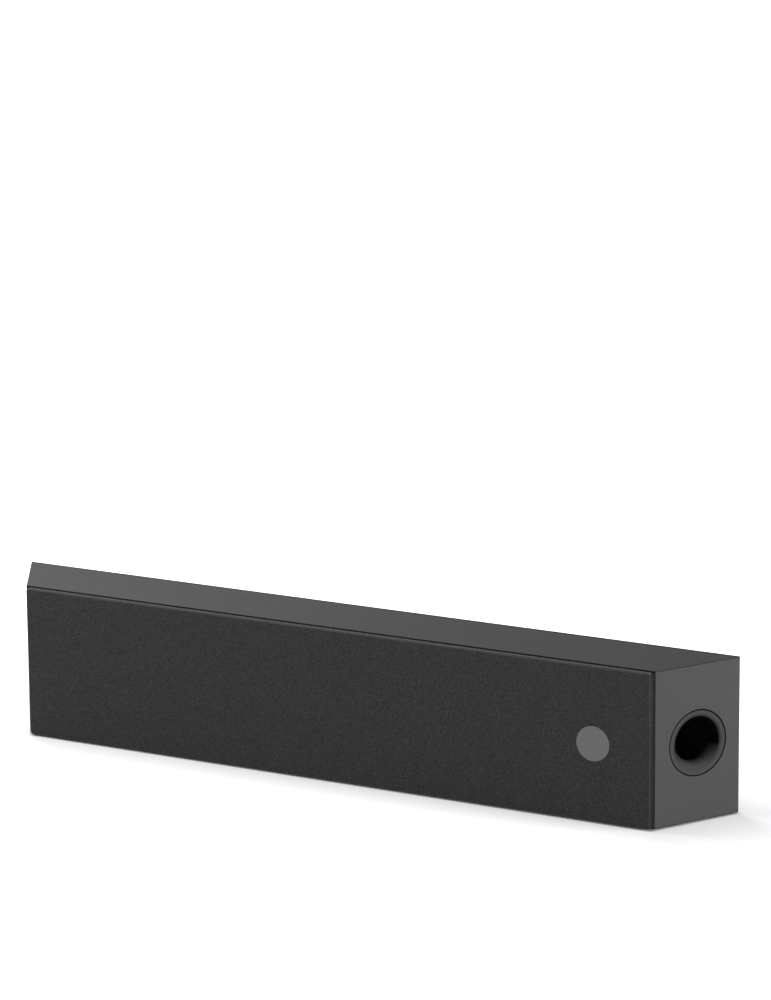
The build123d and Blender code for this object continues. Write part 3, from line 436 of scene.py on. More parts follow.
def open_foam(name, color):
    """Foam with open cells between thin walls."""
    finish = Finish(name, color, 0.95, Specular_IOR_Level=0.1)
    walls = finish.place().into("ShaderNodeTexVoronoi", "Distance", {"Scale": 1 / (1.4 * MM)},
                                feature="DISTANCE_TO_EDGE") * 2.5
    finish.vary(walls, 1.6, 0.35)
    finish.relief(walls, -0.5 * MM)
    return finish


def circuit_laminate(name, color):
    """Solder mask with copper tracks beneath."""
    finish = Finish(name, color, 0.3, Coat_Weight=0.3)
    tracks = finish.place(turn=(pi / 2, 0, 0)).into("ShaderNodeTexBrick", "Fac", {
        "Scale": 1 / (9 * MM), "Mortar Size": 0.03, "Row Height": 0.22}, offset=0.5)
    finish.vary(tracks, 1.0, 2.2)
    finish.relief(tracks, 0.03 * MM)
    return finish


def motor_metal(name, low, high):
    """Black-coated steel plates, with the grey ferrite ring between the given corners."""
    finish = Finish(name, 0.03, 0.55)
    at = finish.place()
    mottle = at.grain(3 * MM)
    coat = blend_colors(mottle, 0.02, 0.035)
    stone = blend_colors(mottle, (0.05, 0.05, 0.052), (0.09, 0.09, 0.092))
    finish.color_by(at.within(low, high), coat, stone)
    finish.relief(at.grain(0.4 * MM), 0.02 * MM)
    return finish


def two_part(name, metal, coat, low, high, roughness):
    """Bare metal with a coated or moulded part inside a box."""
    finish = Finish(name, metal, roughness)
    at = finish.place()
    mask, specks = at.within(low, high), at.grain(0.4 * MM)
    first, second = [blend_colors(specks, shade(color, 0.85), shade(color, 1.15)) for color in (metal, coat)]
    finish.color_by(mask, first, second)
    feed(finish.sockets["Metallic"], mask.spread(1.0, 0.0))
    finish.relief(specks, 0.01 * MM)
    return finish


def dark_lens(name):
    """Dark red tinted cover of the remote-control eye and the status light."""
    finish = Finish(name, (0.05, 0.004, 0.006), 0.12, Coat_Weight=0.5)
    finish.color_by(finish.place().grain(3 * MM), (0.035, 0.003, 0.004), (0.06, 0.006, 0.008))
    return finish


# ---- mesh helpers ----
def cad(name):
    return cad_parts[name]


def dress(finish, *names):
    """Gives CAD nodes a finish."""
    for name in names:
        materials = cad(name).data.materials
        materials.clear()
        materials.append(finish.material)


def extent(name):
    """Lowest and highest corner of a CAD node, and its middle."""
    low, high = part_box(name)
    return low, high, (low + high) / 2


def merged_copy(name):
    """Bmesh of a CAD node with its loose triangles joined."""
    bm = bmesh.new()
    bm.from_mesh(cad(name).data)
    bmesh.ops.remove_doubles(bm, verts=bm.verts, dist=SAME)
    return bm


def loose_boxes(name):
    """Boxes of the separate solids of a CAD node, with the depth of each one's widest ring."""
    bm = merged_copy(name)
    waiting, found = set(bm.verts), []
    while waiting:
        front = [waiting.pop()]
        solid = []
        while front:
            vert = front.pop()
            solid.append(vert.co.copy())
            near = {edge.other_vert(vert) for edge in vert.link_edges} & waiting
            waiting -= near
            front.extend(near)
        low, high = [Vector([*map(pick, zip(*solid))]) for pick in (min, max)]
        axis = (low + high) / 2
        widest = max(solid, key=lambda co: (co.x - axis.x) ** 2 + (co.z - axis.z) ** 2)
        found.append((low, high, widest.y))
    bm.free()
    return sorted(found, key=lambda item: tuple(round(v, 5) for v in item[0]))


def outer_corner(name, back=False):
    """Corner of a panel that lies furthest out on its front edge, or on its back one."""
    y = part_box(name)[back].y
    edge = [vert.co for vert in cad(name).data.vertices if abs(vert.co.y - y) < MM]
    return max(edge, key=lambda co: abs(co.x))


def link_object(name, data):
    """Object in the scene that shows a mesh, a light or a camera."""
    made = bpy.data.objects.new(name, data)
    bpy.context.scene.collection.objects.link(made)
    return made


def new_object(bm, name, *finishes):
    """Object made of a bmesh, which is then freed."""
    mesh = bpy.data.meshes.new(name)
    bm.to_mesh(mesh)
    bm.free()
    for finish in finishes:
        mesh.materials.append(finish.material)
    return link_object(name, mesh)


def piece_from(bm, name, finish, body="cabinet", smooth_angle=radians(35)):
    """Object of a bmesh that rides on a body, or on none yet."""
    bmesh.ops.recalc_face_normals(bm, faces=bm.faces)
    piece = new_object(bm, name, finish)
    piece.data.shade_smooth()
    piece.data.set_sharp_from_angle(angle=smooth_angle)
    if body:
        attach(piece, body)
    return piece


def add_box(bm, centre, size, turn=Matrix()):
    """Box with its centre at a place."""
    lie = Matrix.Translation(centre) @ turn @ Matrix.Diagonal((*size, 1.0))
    return bmesh.ops.create_cube(bm, size=1.0, matrix=lie)["verts"]


def round_edges(bm, edges, radius, segments):
    bmesh.ops.bevel(bm, geom=edges, offset=radius, offset_type="OFFSET", segments=segments, profile=0.5,
                    affect="EDGES", material=-1)


def add_bar(bm, centre, size, soften):
    """Box with softened edges."""
    edges = list({edge for vert in add_box(bm, centre, size) for edge in vert.link_edges})
    round_edges(bm, edges, soften, 2)


def cut_through(bm, at, normal, **options):
    """Cuts a bmesh with a plane."""
    bmesh.ops.bisect_plane(bm, geom=bm.verts[:] + bm.edges[:] + bm.faces[:], dist=SAME, plane_co=at,
                           plane_no=normal, **options)


def open_edges(bm):
    return [edge for edge in bm.edges if edge.is_boundary]


def extrude_rim(bm):
    """Extrudes the open edges and returns the new rim's corners."""
    made = bmesh.ops.extrude_edge_only(bm, edges=open_edges(bm))["geom"]
    return [item for item in made if isinstance(item, bmesh.types.BMVert)]


# ---- cabinet and ports ----
class SOUNDBAR_OT_cabinet(bpy.types.Operator):
    """Lacquer the cabinet, blacken the baffle and finish the inner woodwork, pads and inserts"""
    bl_idname = "soundbar.cabinet"
    bl_label = "Cabinet finishes"

    def execute(self, context):
        cabinet = context.scene.soundbar_cabinet
        low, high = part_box("top_panel")
        thin, far = cabinet.shade_line, Vector((FAR, FAR, FAR))
        front_rim = (-far, Vector((FAR, low.y + 0.3 * MM, FAR)))
        top_rim = (-far, Vector((FAR, low.y + 1.5 * thin, FAR)))
        back_edge = (Vector((-FAR, high.y - 5 * thin, high.z - 0.2 * MM)), far)
        top_edge = (Vector((-FAR, -FAR, high.z - thin)), far)
        bottom_edge = (-far, Vector((FAR, FAR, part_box("bottom_panel")[0].z + thin)))
        # Each entry paints a strip of the lacquer darker: painted shadow in the gap under the top's front
        # edge, painted shade on the front-facing margins, and painted shade lines along the back, top and
        # bottom edges.
        for name, lines, nodes in (
                ("top_lacquer", {0.08: top_rim, 0.3: back_edge}, ("top_panel",)),
                ("end_lacquer", {0.5: front_rim, 0.3: top_edge, 0.2: bottom_edge},
                 ("left_end_panel", "right_end_panel")),
                ("base_lacquer", {0.08: front_rim}, ("bottom_panel", "rear_panel"))):
            lacquer = satin_lacquer(name, cabinet.lacquer, cabinet.lacquer_roughness, cabinet)
            for dark, corners in lines.items():
                lacquer.tint(lacquer.place().within(*corners), shade(cabinet.lacquer, dark))
            dress(lacquer, *nodes)
        dress(satin_lacquer("baffle_lacquer", 0.016, 0.6, cabinet), "front_baffle")
        dress(fibreboard("bare_fibreboard", cabinet.board), "bay_dividers", "cabinet_braces")
        dress(soft_rubber("pad_rubber"), "rubber_pads")
        dress(brushed_metal("insert_brass", (0.72, 0.52, 0.24), 0.3), "wall_inserts")
        return {"FINISHED"}


def mouth_plastic(side, cabinet):
    """Port plastic: satin lip, painted black shade further in, painted light on the lower wall, painted
    shadow round it.
    """
    front, back = [outer_corner(side + "_end_panel", at_back) for at_back in (False, True)]
    mouth_low, mouth_high, mouth_middle = extent(side + "_port_mouth")
    centre = (front + back) / 2
    centre.z = mouth_middle.z
    along = Vector((back.x - front.x, back.y - front.y, 0)).normalized()
    inward = Vector((-along.y, along.x, 0)) * (1 if back.x > 0 else -1)
    finish = fine_plastic(side + "_port_plastic", cabinet.port, 0.6, Specular_IOR_Level=0.0)
    at = finish.place(centre)
    depth, run, rise = at.dot(inward), at.dot(along), at.dot((0, 0, 1))
    radius = reach_of(run, rise)
    inside = (depth / cabinet.shade_depth).clamped()
    under = calc("MULTIPLY_ADD", rise / radius, -1.25, -0.2).clamped()
    # The painted light on the lower wall fades out by this depth.
    shallow = calc("SUBTRACT", 1.0, depth / cabinet.dust).clamped()
    lip = (mouth_high.z - mouth_low.z) / 2
    # Painted shade that deepens into the bore, painted light on the lower wall near the lip, and a painted
    # shadow line round the mouth.
    for amount, level in ((inside ** 1.5, 0.03), (under * shallow * inside, 1.2),
                          (radius > lip - cabinet.shade_line, 0.05)):
        finish.tint(amount, shade(cabinet.port, level))
    return finish


class SOUNDBAR_OT_ports(bpy.types.Operator):
    """Finish the moulded port mouths and their ducts"""
    bl_idname = "soundbar.ports"
    bl_label = "Port finishes"

    def execute(self, context):
        for side in ("left", "right"):
            dress(mouth_plastic(side, context.scene.soundbar_cabinet), side + "_port_mouth")
        duct = fine_plastic("duct_plastic", 0.005, 0.8, Specular_IOR_Level=0.0)
        dress(duct, "left_port_tube", "right_port_tube")
        return {"FINISHED"}


# ---- grille ----
def cloth_tray(grille):
    """Front, rounded sides and the strip turned over the back, as one open skin."""
    low, high, centre = extent("grille_cloth")
    size = high - low
    bm = bmesh.new()
    add_box(bm, centre, size)
    bm.normal_update()
    bmesh.ops.delete(bm, geom=[face for face in bm.faces if face.normal.y > 0.5], context="FACES_ONLY")
    upright = [edge for edge in bm.edges if abs(edge.verts[0].co.y - edge.verts[1].co.y) > size.y / 2]
    round_edges(bm, upright, grille.corner, 8)
    bm.normal_update()
    front = min(bm.faces, key=lambda face: face.normal.y)
    round_edges(bm, list(front.edges), grille.rounding, 6)
    shrink = [1 - 2 * grille.wrap / size.x, 1, 1 - 2 * grille.wrap / size.z]
    bmesh.ops.scale(bm, vec=shrink, verts=extrude_rim(bm), space=Matrix.Translation(-centre))
    for axis in (0, 2):
        count = int(size[axis] / grille.cell)
        for k in range(1, count):
            at = list(centre)
            at[axis] = low[axis] + size[axis] * k / count
            cut_through(bm, at, [float(k == axis) for k in range(3)])
    return bm, low, high


def lay_out_cut(bm, low, high):
    """Writes where each corner of a face lies on the flat cut of the cloth, in metres."""
    layer, facing = bm.loops.layers.uv.new("cut"), 0.7
    centre, half = (low + high) / 2, (high - low) / 2
    bm.normal_update()
    for face in bm.faces:
        normal = face.normal
        for loop in face.loops:
            u, y, v = loop.vert.co - centre
            inset_x, inset_z = half.x - abs(u), half.z - abs(v)
            along_top, run = abs(normal.z) > abs(normal.x), half.y + y
            if normal.y > facing:
                along_top, run = inset_z < inset_x, 2 * half.y + min(inset_x, inset_z)
            if normal.y > -facing and along_top:
                v = copysign(half.z + run, v)
            elif normal.y > -facing:
                u = copysign(half.x + run, u)
            loop[layer].uv = (u, v)


class SOUNDBAR_OT_grille_cloth(bpy.types.Operator):
    """Stretch the woven cloth over the grille's frame and turn it over the back"""
    bl_idname = "soundbar.grille_cloth"
    bl_label = "Grille cloth"

    def execute(self, context):
        grille = context.scene.soundbar_grille
        bm, low, high = cloth_tray(grille)
        slack, swells_per_metre = 0.05 * MM, 18
        for vert in bm.verts:
            if vert.co.y < low.y + 10 * SAME:
                vert.co.y += slack * (1 + noise.noise(vert.co * swells_per_metre))
        lay_out_cut(bm, low, high)
        size = high - low
        cloth = woven_cloth("grille_weave", grille, size)
        piece = piece_from(bm, "grille_fabric", cloth, "grille", radians(80))
        thick = piece.modifiers.new("thickness", "SOLIDIFY")
        thick.thickness = grille.thickness
        thick.offset = -1.0
        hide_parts("grille_cloth")
        return {"FINISHED"}


class SOUNDBAR_OT_grille_frame(bpy.types.Operator):
    """Finish the grille's frame, its pins and the rubber grommets that hold them"""
    bl_idname = "soundbar.grille_frame"
    bl_label = "Grille frame"

    def execute(self, context):
        dress(fine_plastic("frame_plastic", 0.02, 0.55), "grille_frame", "grille_pins")
        dress(soft_rubber("grommet_rubber"), "grille_grommets")
        return {"FINISHED"}


class SOUNDBAR_OT_badge(bpy.types.Operator):
    """Finish the bare round badge in satin metal"""
    bl_idname = "soundbar.badge"
    bl_label = "Badge"

    def execute(self, context):
        color = context.scene.soundbar_grille.badge
        dress(turned_face("badge_metal", color, 0.45, extent("grille_badge")[2]), "grille_badge")
        return {"FINISHED"}


# ---- drivers ----
def dress_motors(node, front_plate, back_plate):
    """Finishes motors whose ferrite rings lie between plates of the given thickness."""
    low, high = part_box(node)
    ferrite = Vector((-FAR, low.y + front_plate, -FAR)), Vector((FAR, high.y - back_plate, FAR))
    dress(motor_metal(node[:-1] + "_metal", *ferrite), node)


class SOUNDBAR_OT_woofers(bpy.types.Operator):
    """Finish the woofers: baskets, cones, spiders and motors"""
    bl_idname = "soundbar.woofers"
    bl_label = "Woofers"

    def execute(self, context):
        drivers = context.scene.soundbar_drivers
        coat = fine_plastic("basket_coat", drivers.basket, 0.5, 0.5 * MM, 0.03 * MM)
        for k in range(1, 5):
            cone = f"woofer_{k}_cone"
            dress(coat, f"woofer_{k}_basket")
            dress(pressed_paper(f"cone_paper_{k}", drivers.cone, extent(cone)[2]), cone)
        dress(knit("spider_cloth", drivers.spider, 0.7 * MM, 0.15 * MM), "woofer_spiders")
        dress_motors("woofer_motors", 5 * MM, 4 * MM)
        return {"FINISHED"}


class SOUNDBAR_OT_surrounds(bpy.types.Operator):
    """Mould the woofers' surrounds, which stretch between the basket and the cone as the cone strokes"""
    bl_idname = "soundbar.surrounds"
    bl_label = "Woofer surrounds"

    def execute(self, context):
        drivers = context.scene.soundbar_drivers
        rubber = soft_rubber("surround_rubber", 0.018)
        for k in range(1, 5):
            node = f"woofer_{k}_surround"
            low, high, centre = extent(node)
            for n in range(drivers.sectors):
                turn = tau * n / drivers.sectors
                bm = self.sector(node, centre, turn, pi / drivers.sectors)
                piece = piece_from(bm, f"surround_{k}_sector_{n + 1}", rubber, None)
                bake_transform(piece)
                if n == 0:
                    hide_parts(node)
        return {"FINISHED"}

    def sector(self, node, centre, turn, half):
        """Wedge of the moulded ring, closed at both cuts."""
        bm = merged_copy(node)
        for end, side in ((turn - half, 1), (turn + half, -1)):
            cut_through(bm, centre, Vector((-sin(end), 0, cos(end))) * side, clear_inner=True)
        bmesh.ops.holes_fill(bm, edges=open_edges(bm), sides=0)
        return bm


class SOUNDBAR_OT_tweeters(bpy.types.Operator):
    """Finish the tweeters: faceplates, domes, surrounds and motors"""
    bl_idname = "soundbar.tweeters"
    bl_label = "Tweeters"

    def execute(self, context):
        drivers = context.scene.soundbar_drivers
        silk = knit("dome_silk", drivers.dome)
        for k in (1, 2):
            face = f"tweeter_{k}_faceplate"
            dress(turned_face(f"faceplate_{k}", 0.03, 0.4, extent(face)[2], 0.6 * MM), face)
            dress(silk, f"tweeter_{k}_dome")
        dress(knit("tweeter_cloth", shade(drivers.dome, 1.2)), "tweeter_surrounds")
        dress_motors("tweeter_motors", 4 * MM, 4 * MM)
        return {"FINISHED"}


# ---- screws ----
def cross_screw(name, head_radius, head, length_below, recess):
    """Mesh of a pan-head screw along +Y, its head on -Y, with a cross recess and a cut thread."""
    shank, radius = head_radius * 0.58, head_radius * 0.99
    pitch, threaded = 0.9 * MM, length_below * 0.9
    points = [(radius * sin(radians(a)), -head * cos(radians(a))) for a in range(0, 91, 15)]
    turns = max(4, int(length_below / pitch))
    for k in range(turns):
        y = threaded * k / turns
        points += [(shank * 0.8, y + 0.2 * MM), (shank, y + 0.55 * MM)]
    points += [(shank * 0.5, length_below * 0.95), (0, length_below)]
    bm = bmesh.new()
    verts = [bm.verts.new((r, y, 0)) for r, y in points]
    edges = [bm.edges.new(pair) for pair in zip(verts, verts[1:])]
    bmesh.ops.spin(bm, geom=verts + edges, cent=(0, 0, 0), axis=(0, 1, 0), angle=tau, steps=24,
                   use_merge=True, use_duplicate=False)
    bmesh.ops.remove_doubles(bm, verts=bm.verts, dist=SAME)
    bmesh.ops.recalc_face_normals(bm, faces=bm.faces)
    whole = new_object(bm, name)
    bm = bmesh.new()
    arm = 2 * radius * recess
    for turn in (0, pi / 2):
        add_box(bm, (0, -head, 0), (arm, head * 1.2, arm * 0.2), Matrix.Rotation(turn, 4, "Y"))
    cutter = new_object(bm, name + "_cutter")
    cut = whole.modifiers.new("recess", "BOOLEAN")
    cut.object = cutter
    cut.operation = "DIFFERENCE"
    cut.solver = "EXACT"
    cut.use_self = True
    result = bpy.data.meshes.new_from_object(whole.evaluated_get(bpy.context.evaluated_depsgraph_get()))
    bpy.data.objects.remove(whole)
    bpy.data.objects.remove(cutter)
    return result


def screw_set(node, name, finish, drivers):
    """Detailed screws at the places of a CAD node's plain ones."""
    bm = bmesh.new()
    templates, head = {}, drivers.screw_head
    for low, high, widest in loose_boxes(node):
        head_radius, span = (high.x - low.x) / 2, high.y - low.y
        key = (round(head_radius, 5), round(span, 5))
        if key not in templates:
            templates[key] = cross_screw(name, head_radius, head, span - head, drivers.recess)
        faces_back = widest > (low.y + high.y) / 2
        seat = high.y - head if faces_back else low.y + head
        turn = Matrix.Rotation(pi if faces_back else 0, 4, "Z")
        own_turn = Matrix.Rotation(low.x * 400 + low.z * 900, 4, "Y")  # each stops at its own angle
        centre = Vector(((low.x + high.x) / 2, seat, (low.z + high.z) / 2))
        count = len(bm.verts)
        bm.from_mesh(templates[key])
        bm.verts.ensure_lookup_table()
        bmesh.ops.transform(bm, matrix=Matrix.Translation(centre) @ turn @ own_turn, verts=bm.verts[count:])
    screws = piece_from(bm, name, finish)
    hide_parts(node)


class SOUNDBAR_OT_screws(bpy.types.Operator):
    """Put cross-recessed screws at the baffle, the drivers and the electronics module"""
    bl_idname = "soundbar.screws"
    bl_label = "Screws"

    def execute(self, context):
        black = brushed_metal("black_oxide", 0.05, 0.38, (1, 1, 1), 0.01 * MM)
        for place in ("baffle", "module"):
            screw_set(f"{place}_screws", f"{place}_cross_screws", black, context.scene.soundbar_drivers)
        return {"FINISHED"}


# ---- rear connectors, buttons and electronics ----
class SOUNDBAR_OT_rear(bpy.types.Operator):
    """Finish the connector plate and its sockets, with metal pins and contacts"""
    bl_idname = "soundbar.rear"
    bl_label = "Rear connectors"

    def execute(self, context):
        rear = context.scene.soundbar_rear
        plate = brushed_metal("anodised_plate", rear.plate, 0.45, (1, 60, 60), 0.008 * MM, 0.0)
        dress(plate, "connector_plate")
        plastic = fine_plastic("socket_plastic", 0.012, 0.35)
        dress(plastic, "optical_socket", "subwoofer_socket", "power_inlet")
        _, high, centre = extent("hdmi_socket")
        reach = Vector((6.2, 12, 0.9)) * MM
        tongue = Vector((centre.x, high.y - 8 * MM, centre.z))
        dress(two_part("hdmi_shell", 0.6, 0.01, tongue - reach, tongue + reach, 0.28), "hdmi_socket")
        nickel = brushed_metal("pin_nickel", (0.66, 0.64, 0.58), 0.22, (60, 1, 60), 0.003 * MM)
        pins = [(k * rear.pin_pitch, (1.5 - 3 * abs(k)) * MM) for k in (-1, 0, 1)]
        self.add_row("power_inlet", "inlet_pins", nickel, pins, 8.6 * MM, (2.2, 8.0, 4.2), 0.35 * MM)
        gold = brushed_metal("contact_gold", (0.85, 0.6, 0.22), 0.2, (60, 1, 60), 0.001 * MM)
        count, pitch = 10, 1.05 * MM
        strips = [((k - (count - 1) / 2) * pitch, 0.64 * MM) for k in range(count)]
        self.add_row("hdmi_socket", "hdmi_contacts", gold, strips, 4.6 * MM, (0.5, 6.4, 0.12), 0.03 * MM)
        return {"FINISHED"}

    def add_row(self, node, name, finish, offsets, depth, size, soften):
        """Bars at (x, z) offsets from the middle of a socket, at a depth inside it."""
        _, high, centre = extent(node)
        bm = bmesh.new()
        for x, z in offsets:
            add_bar(bm, Vector((centre.x + x, high.y - depth, centre.z + z)), Vector(size) * MM, soften)
        piece_from(bm, name, finish)


class SOUNDBAR_OT_buttons(bpy.types.Operator):
    """Finish the three buttons and raise a plain mark on each cap"""
    bl_idname = "soundbar.buttons"
    bl_label = "Buttons"

    def execute(self, context):
        rear = context.scene.soundbar_rear
        plastic = fine_plastic("button_plastic", 0.05, 0.42, 0.3 * MM, 0.01 * MM)
        pale = fine_plastic("mark_plastic", 0.45, 0.5, 0.3 * MM, 0.01 * MM)
        across = Vector((rear.mark_size, 2 * rear.mark_proud, rear.mark_width))
        stem = Vector((across.z, across.y, 0.6 * across.x))
        for node, bars in (("volume_up_button", (across, across.zyx)), ("volume_down_button", (across,)),
                           ("power_button", (stem,))):
            dress(plastic, node)
            _, high, centre = extent(node)
            at = Vector((centre.x, high.y, centre.z))
            bm = bmesh.new()
            is_power = node == "power_button"
            for size in bars:
                raised = Vector((0, 0, 0.3 * across.x if is_power else 0))
                add_bar(bm, at + raised, size, 0.05 * MM)
            if is_power:
                self.add_arc(bm, at, rear)
            piece_from(bm, node.replace("button", "mark"), pale, node)
        return {"FINISHED"}

    def add_arc(self, bm, at, rear):
        """Open ring round the upright bar."""
        radius, half = rear.mark_size / 2, rear.mark_width / 2
        corners = [(radius - half, 0), (radius + half, 0), (radius + half, rear.mark_proud),
                   (radius - half, rear.mark_proud)]
        gap = radians(35)
        verts = [bm.verts.new((at.x + r * sin(gap), at.y + y, at.z + r * cos(gap))) for r, y in corners]
        face = bm.faces.new(verts)
        bmesh.ops.spin(bm, geom=[face], cent=at, axis=(0, 1, 0), angle=tau - 2 * gap, steps=40,
                       use_merge=False, use_duplicate=False)


class SOUNDBAR_OT_electronics(bpy.types.Operator):
    """Finish the circuit boards and what stands on them"""
    bl_idname = "soundbar.electronics"
    bl_label = "Electronics"

    def execute(self, context):
        rear = context.scene.soundbar_rear
        laminate = circuit_laminate("solder_mask", rear.solder_mask)
        dress(laminate, "amplifier_board", "power_board", "sensor_board")
        dress(fine_plastic("component_plastic", 0.015, 0.45), "board_components")
        dress(fine_plastic("ferrite", (0.05, 0.05, 0.052), 0.6, 0.8 * MM, 0.03 * MM), "power_transformer")
        dress(brushed_metal("extruded_alloy", (0.62, 0.62, 0.63), 0.35, (60, 60, 1)), "heat_sink")
        dress(brushed_metal("standoff_brass", (0.72, 0.52, 0.24), 0.3, (60, 1, 60)), "board_standoffs")
        low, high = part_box("power_capacitors")
        sleeve = Vector((-FAR, low.y + 0.6 * MM, -FAR)), Vector((FAR, high.y, FAR))
        dress(two_part("capacitor_sleeve", 0.6, (0.01, 0.012, 0.045), *sleeve, 0.3), "power_capacitors")
        dress(dark_lens("lens_tint"), "sensor_lenses")
        self.make_winding()
        self.make_parts(rear)
        return {"FINISHED"}

    def make_winding(self):
        """Copper winding round the transformer's middle leg."""
        low, high, centre = extent("power_transformer")
        layers, thick, half_x, half_z = 14, 3.6 * MM, 10.2 * MM, 6.4 * MM
        pitch = (high.y - low.y) / layers
        bm = bmesh.new()
        for k in range(layers):
            for side in (-1, 1):
                at = Vector((centre.x + side * half_x, low.y + pitch * (k + 0.5), centre.z))
                add_bar(bm, at, (thick, pitch, 2 * half_z), 0.25 * MM)
        copper = brushed_metal("winding_copper", (0.62, 0.24, 0.1), 0.3, (1, 60, 1))
        piece_from(bm, "transformer_winding", copper)

    def make_parts(self, rear):
        """Rows of small chip parts on the front of each board, above and below the large ones."""
        bm = bmesh.new()
        spacing, thick = 3.2, 0.9
        for board, rows in (("amplifier_board", (36, 32, -36)), ("power_board", (36, 32, -37))):
            low, _, centre = extent(board)
            per_row = rear.parts // len(rows)
            for row in rows:
                for k in range(per_row):
                    offset = Vector(((k - (per_row - 1) / 2) * spacing, -thick / 2, row)) * MM
                    size = Vector((1.8 if k % 3 == 0 else 1.0, thick, 1.6)) * MM
                    add_bar(bm, Vector((centre.x, low.y, centre.z)) + offset, size, 0.1 * MM)
        ceramic = fine_plastic("chip_ceramic", (0.09, 0.075, 0.06), 0.4)
        piece_from(bm, "chip_parts", ceramic)


# ---- foam and wiring ----
class SOUNDBAR_OT_foam(bpy.types.Operator):
    """Lay the convoluted foam sheets behind the woofers"""
    bl_idname = "soundbar.foam"
    bl_label = "Damping foam"

    def execute(self, context):
        foam = open_foam("open_foam", (0.045, 0.045, 0.05))
        pitch, depth, rolled, rolled_depth = 12 * MM, 1.4 * MM, 2.5 * MM, 1.2 * MM
        for n, (low, high, _) in enumerate(loose_boxes("damping_foam"), 1):
            size, centre = high - low, (low + high) / 2
            bm = bmesh.new()
            lie = Matrix.Translation((centre.x, low.y, centre.z)) @ Matrix.Rotation(pi / 2, 4, "X")
            bmesh.ops.create_grid(bm, x_segments=48, y_segments=64, size=0.5,
                                  matrix=lie @ Matrix.Diagonal((size.x, size.z, 1.0, 1.0)))
            for vert in bm.verts:
                hollow = 1 + cos(vert.co.x * tau / pitch) * cos(vert.co.z * tau / pitch)
                edge = min(abs(abs(vert.co[k] - centre[k]) - size[k] / 2) for k in (0, 2))
                vert.co.y += depth * hollow + rolled_depth * max(0.0, 1 - edge / rolled)
            for vert in extrude_rim(bm):
                vert.co.y = high.y
            bmesh.ops.contextual_create(bm, geom=open_edges(bm))
            sheet = piece_from(bm, f"foam_sheet_{n}", foam)
            if n == 1:
                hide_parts("damping_foam")
        return {"FINISHED"}


class SOUNDBAR_OT_wiring(bpy.types.Operator):
    """Finish the speaker wires inside"""
    bl_idname = "soundbar.wiring"
    bl_label = "Wiring"

    def execute(self, context):
        dress(soft_rubber("wire_sleeve", 0.03), "internal_wires")
        return {"FINISHED"}


# ---- stage ----
LAMPS = {  # size, place and the point that it faces, in metres
    "overhead": ((0.4, 0.8), (-0.9, -0.2, 0.95), (-0.1, 0, 0.1)),
    "back": ((0.8, 0.8), (-1.2, 0.9, 1.2), (0, 0, 0.1)),
    "front": ((2.4, 0.6), (0.4, -2.4, 0.3), (0, 0, 0.08)),
    "strip": ((1.6, 0.2), (0, -0.6, 0.5), (0, 0, 0.15)),
    "side": ((1.0, 0.8), (2.4, 0.5, 0.42), (0.3, 0, 0.08)),
    "near": ((0.3, 0.3), (1.2, -0.5, 0.15), (0.38, 0, 0.07)),
}


def area_light(name, watts, size, at, aim):
    """Soft rectangular light that points at a place."""
    light = bpy.data.lights.new(name, "AREA")
    light.shape = "RECTANGLE"
    light.energy = watts
    light.size, light.size_y = size
    lamp = link_object(name, light)
    lamp.location = at
    lamp.rotation_euler = (Vector(aim) - Vector(at)).to_track_quat("-Z", "Y").to_euler()


def seen(tree):
    """1 for rays that show a surface to the camera: straight, mirrored or through glass."""
    path = add(tree, "ShaderNodeLightPath").outputs
    return most(*[Signal(path[f"Is {kind} Ray"]) for kind in ("Camera", "Glossy", "Transmission")])


def white_world(ambient):
    """White where it is seen, reflected or seen through, and a plain fill elsewhere."""
    world = bpy.data.worlds.new("white_studio")
    bpy.context.scene.world = world
    world.use_nodes = True
    tree = world.node_tree
    backgrounds = tree.nodes["Background"], add(tree, "ShaderNodeBackground")
    mix = add(tree, "ShaderNodeMixShader", {"Fac": seen(tree)})
    for socket, background, strength in zip(mix.inputs[1:], backgrounds, (ambient, 1.0)):
        feed(background.inputs["Color"], (1, 1, 1, 1))
        feed(background.inputs["Strength"], strength)
        feed(socket, Signal(background.outputs["Background"]))
    feed(tree.nodes["World Output"].inputs["Surface"], Signal(mix.outputs["Shader"]))


def front_corner():
    """Where the cabinet's front edge ends on the right, as X and Y."""
    return abs(outer_corner("top_panel").x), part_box("top_panel")[0].y


def beside_bar(at):
    """How far a place on the floor lies outside the bar's outline, counted double in front of it."""
    high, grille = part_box("top_panel")[1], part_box("grille_cloth")[0]
    corner_x, corner_y = front_corner()
    slant = Vector((high.y - corner_y, corner_x - high.x, 0)).normalized()
    x, y, _ = at.split()
    past_end = (abs(x) - corner_x) * slant.x + (y - corner_y) * slant.y
    return most(past_end, y - high.y, (y - grille.y) * -2.0)


def pale_floor(stage):
    """Wide floor at the surface that the bar stands on."""
    bm = bmesh.new()
    bmesh.ops.create_circle(bm, cap_ends=True, segments=96, radius=14.0)
    finish = Finish("pale_floor", stage.floor, 0.9, Specular_IOR_Level=0.0, Emission_Color=(1, 1, 1, 1))
    gap = beside_bar(finish.place())
    # The camera-only glow fades towards the bar, faster in front, and is gone right beside it: a painted
    # contact shadow on top of the lamps' own shadows.
    lift = (gap * ((1 - stage.floor_glow) / stage.floor_fade) + stage.floor_glow).clamped()
    near = (gap / stage.floor_near).clamped()
    feed(finish.sockets["Emission Strength"], seen(finish.tree) * (lift * near))
    floor = new_object(bm, "floor", finish)


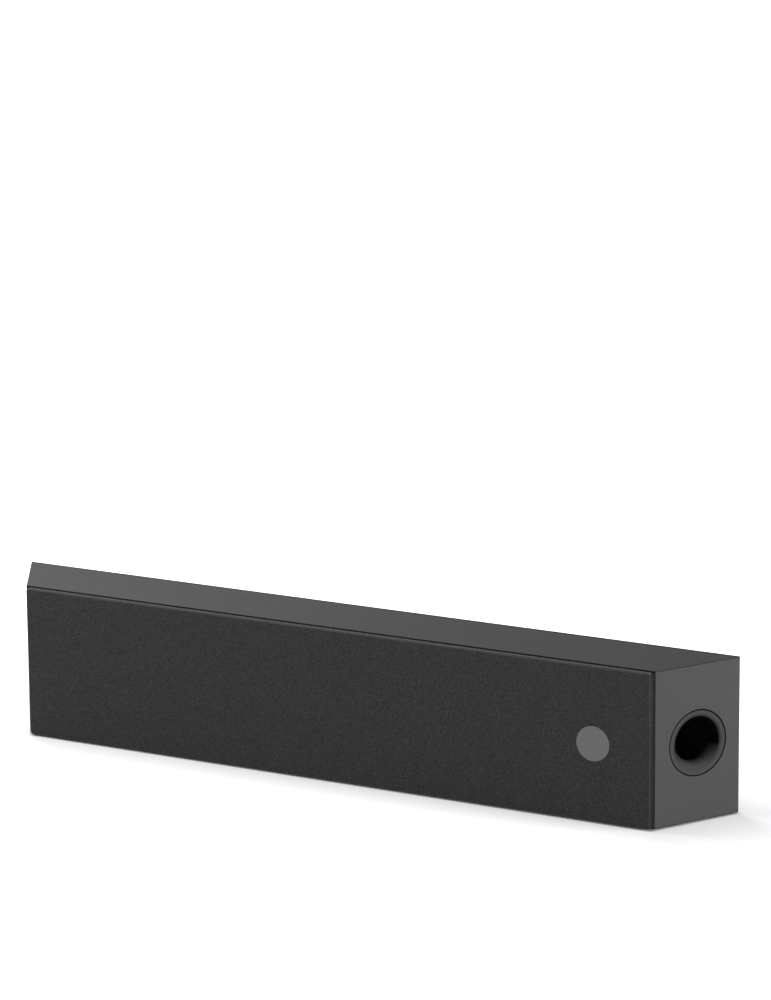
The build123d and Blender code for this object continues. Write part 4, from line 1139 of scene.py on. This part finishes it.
def aim_camera(stage):
    """Camera in front, to the right of the bar and above it."""
    corner_x, corner_y = front_corner()
    lie = Matrix.Translation((corner_x - stage.aim_from_end, corner_y, stage.aim_height))
    for turn, axis in ((stage.azimuth, "Z"), (pi / 2 - stage.elevation, "X"), (stage.roll, "Z")):
        lie = lie @ Matrix.Rotation(turn, 4, axis)
    data = bpy.data.cameras.new("camera")
    data.lens = stage.lens
    camera = link_object("camera", data)
    camera.matrix_world = lie @ Matrix.Translation((0, 0, stage.distance))
    bpy.context.scene.camera = camera


class SOUNDBAR_OT_stage(bpy.types.Operator):
    """Set up the camera, the pale floor and the soft studio light"""
    bl_idname = "soundbar.stage"
    bl_label = "Studio"

    def execute(self, context):
        stage = context.scene.soundbar_stage
        context.scene.view_settings.view_transform = "Standard"
        aim_camera(stage)
        white_world(stage.ambient)
        pale_floor(stage)
        for name, layout in LAMPS.items():
            area_light(name, getattr(stage, name), *layout)
        return {"FINISHED"}


# ---- add-on ----
OPERATORS = (SOUNDBAR_OT_stage, SOUNDBAR_OT_cabinet, SOUNDBAR_OT_ports, SOUNDBAR_OT_grille_frame,
             SOUNDBAR_OT_grille_cloth, SOUNDBAR_OT_badge, SOUNDBAR_OT_woofers, SOUNDBAR_OT_surrounds,
             SOUNDBAR_OT_tweeters, SOUNDBAR_OT_screws, SOUNDBAR_OT_rear, SOUNDBAR_OT_buttons,
             SOUNDBAR_OT_electronics, SOUNDBAR_OT_foam, SOUNDBAR_OT_wiring)


class SOUNDBAR_PT_looks(bpy.types.Panel):
    """Lists the steps that dress the soundbar, and their settings"""
    bl_idname = "SOUNDBAR_PT_looks"
    bl_label = "Soundbar"
    bl_space_type = "VIEW_3D"
    bl_region_type = "UI"
    bl_category = "Soundbar"

    def draw(self, context):
        for step in OPERATORS:
            self.layout.operator(step.bl_idname)
        for name, group in SETTINGS.items():
            box = self.layout.box()
            for prop in group.__annotations__:
                box.prop(getattr(context.scene, name), prop)


def register():
    for name, group in SETTINGS.items():
        bpy.utils.register_class(group)
        setattr(bpy.types.Scene, name, PointerProperty(type=group))
    for cls in (*OPERATORS, SOUNDBAR_PT_looks):
        bpy.utils.register_class(cls)


def unregister():
    for cls in (SOUNDBAR_PT_looks, *reversed(OPERATORS)):
        bpy.utils.unregister_class(cls)
    for name, group in SETTINGS.items():
        delattr(bpy.types.Scene, name)
        bpy.utils.unregister_class(group)


def main():
    register()
    for step in OPERATORS:
        group, name = step.bl_idname.split(".")
        getattr(getattr(bpy.ops, group), name)()


if __name__ == "__main__":
    main()
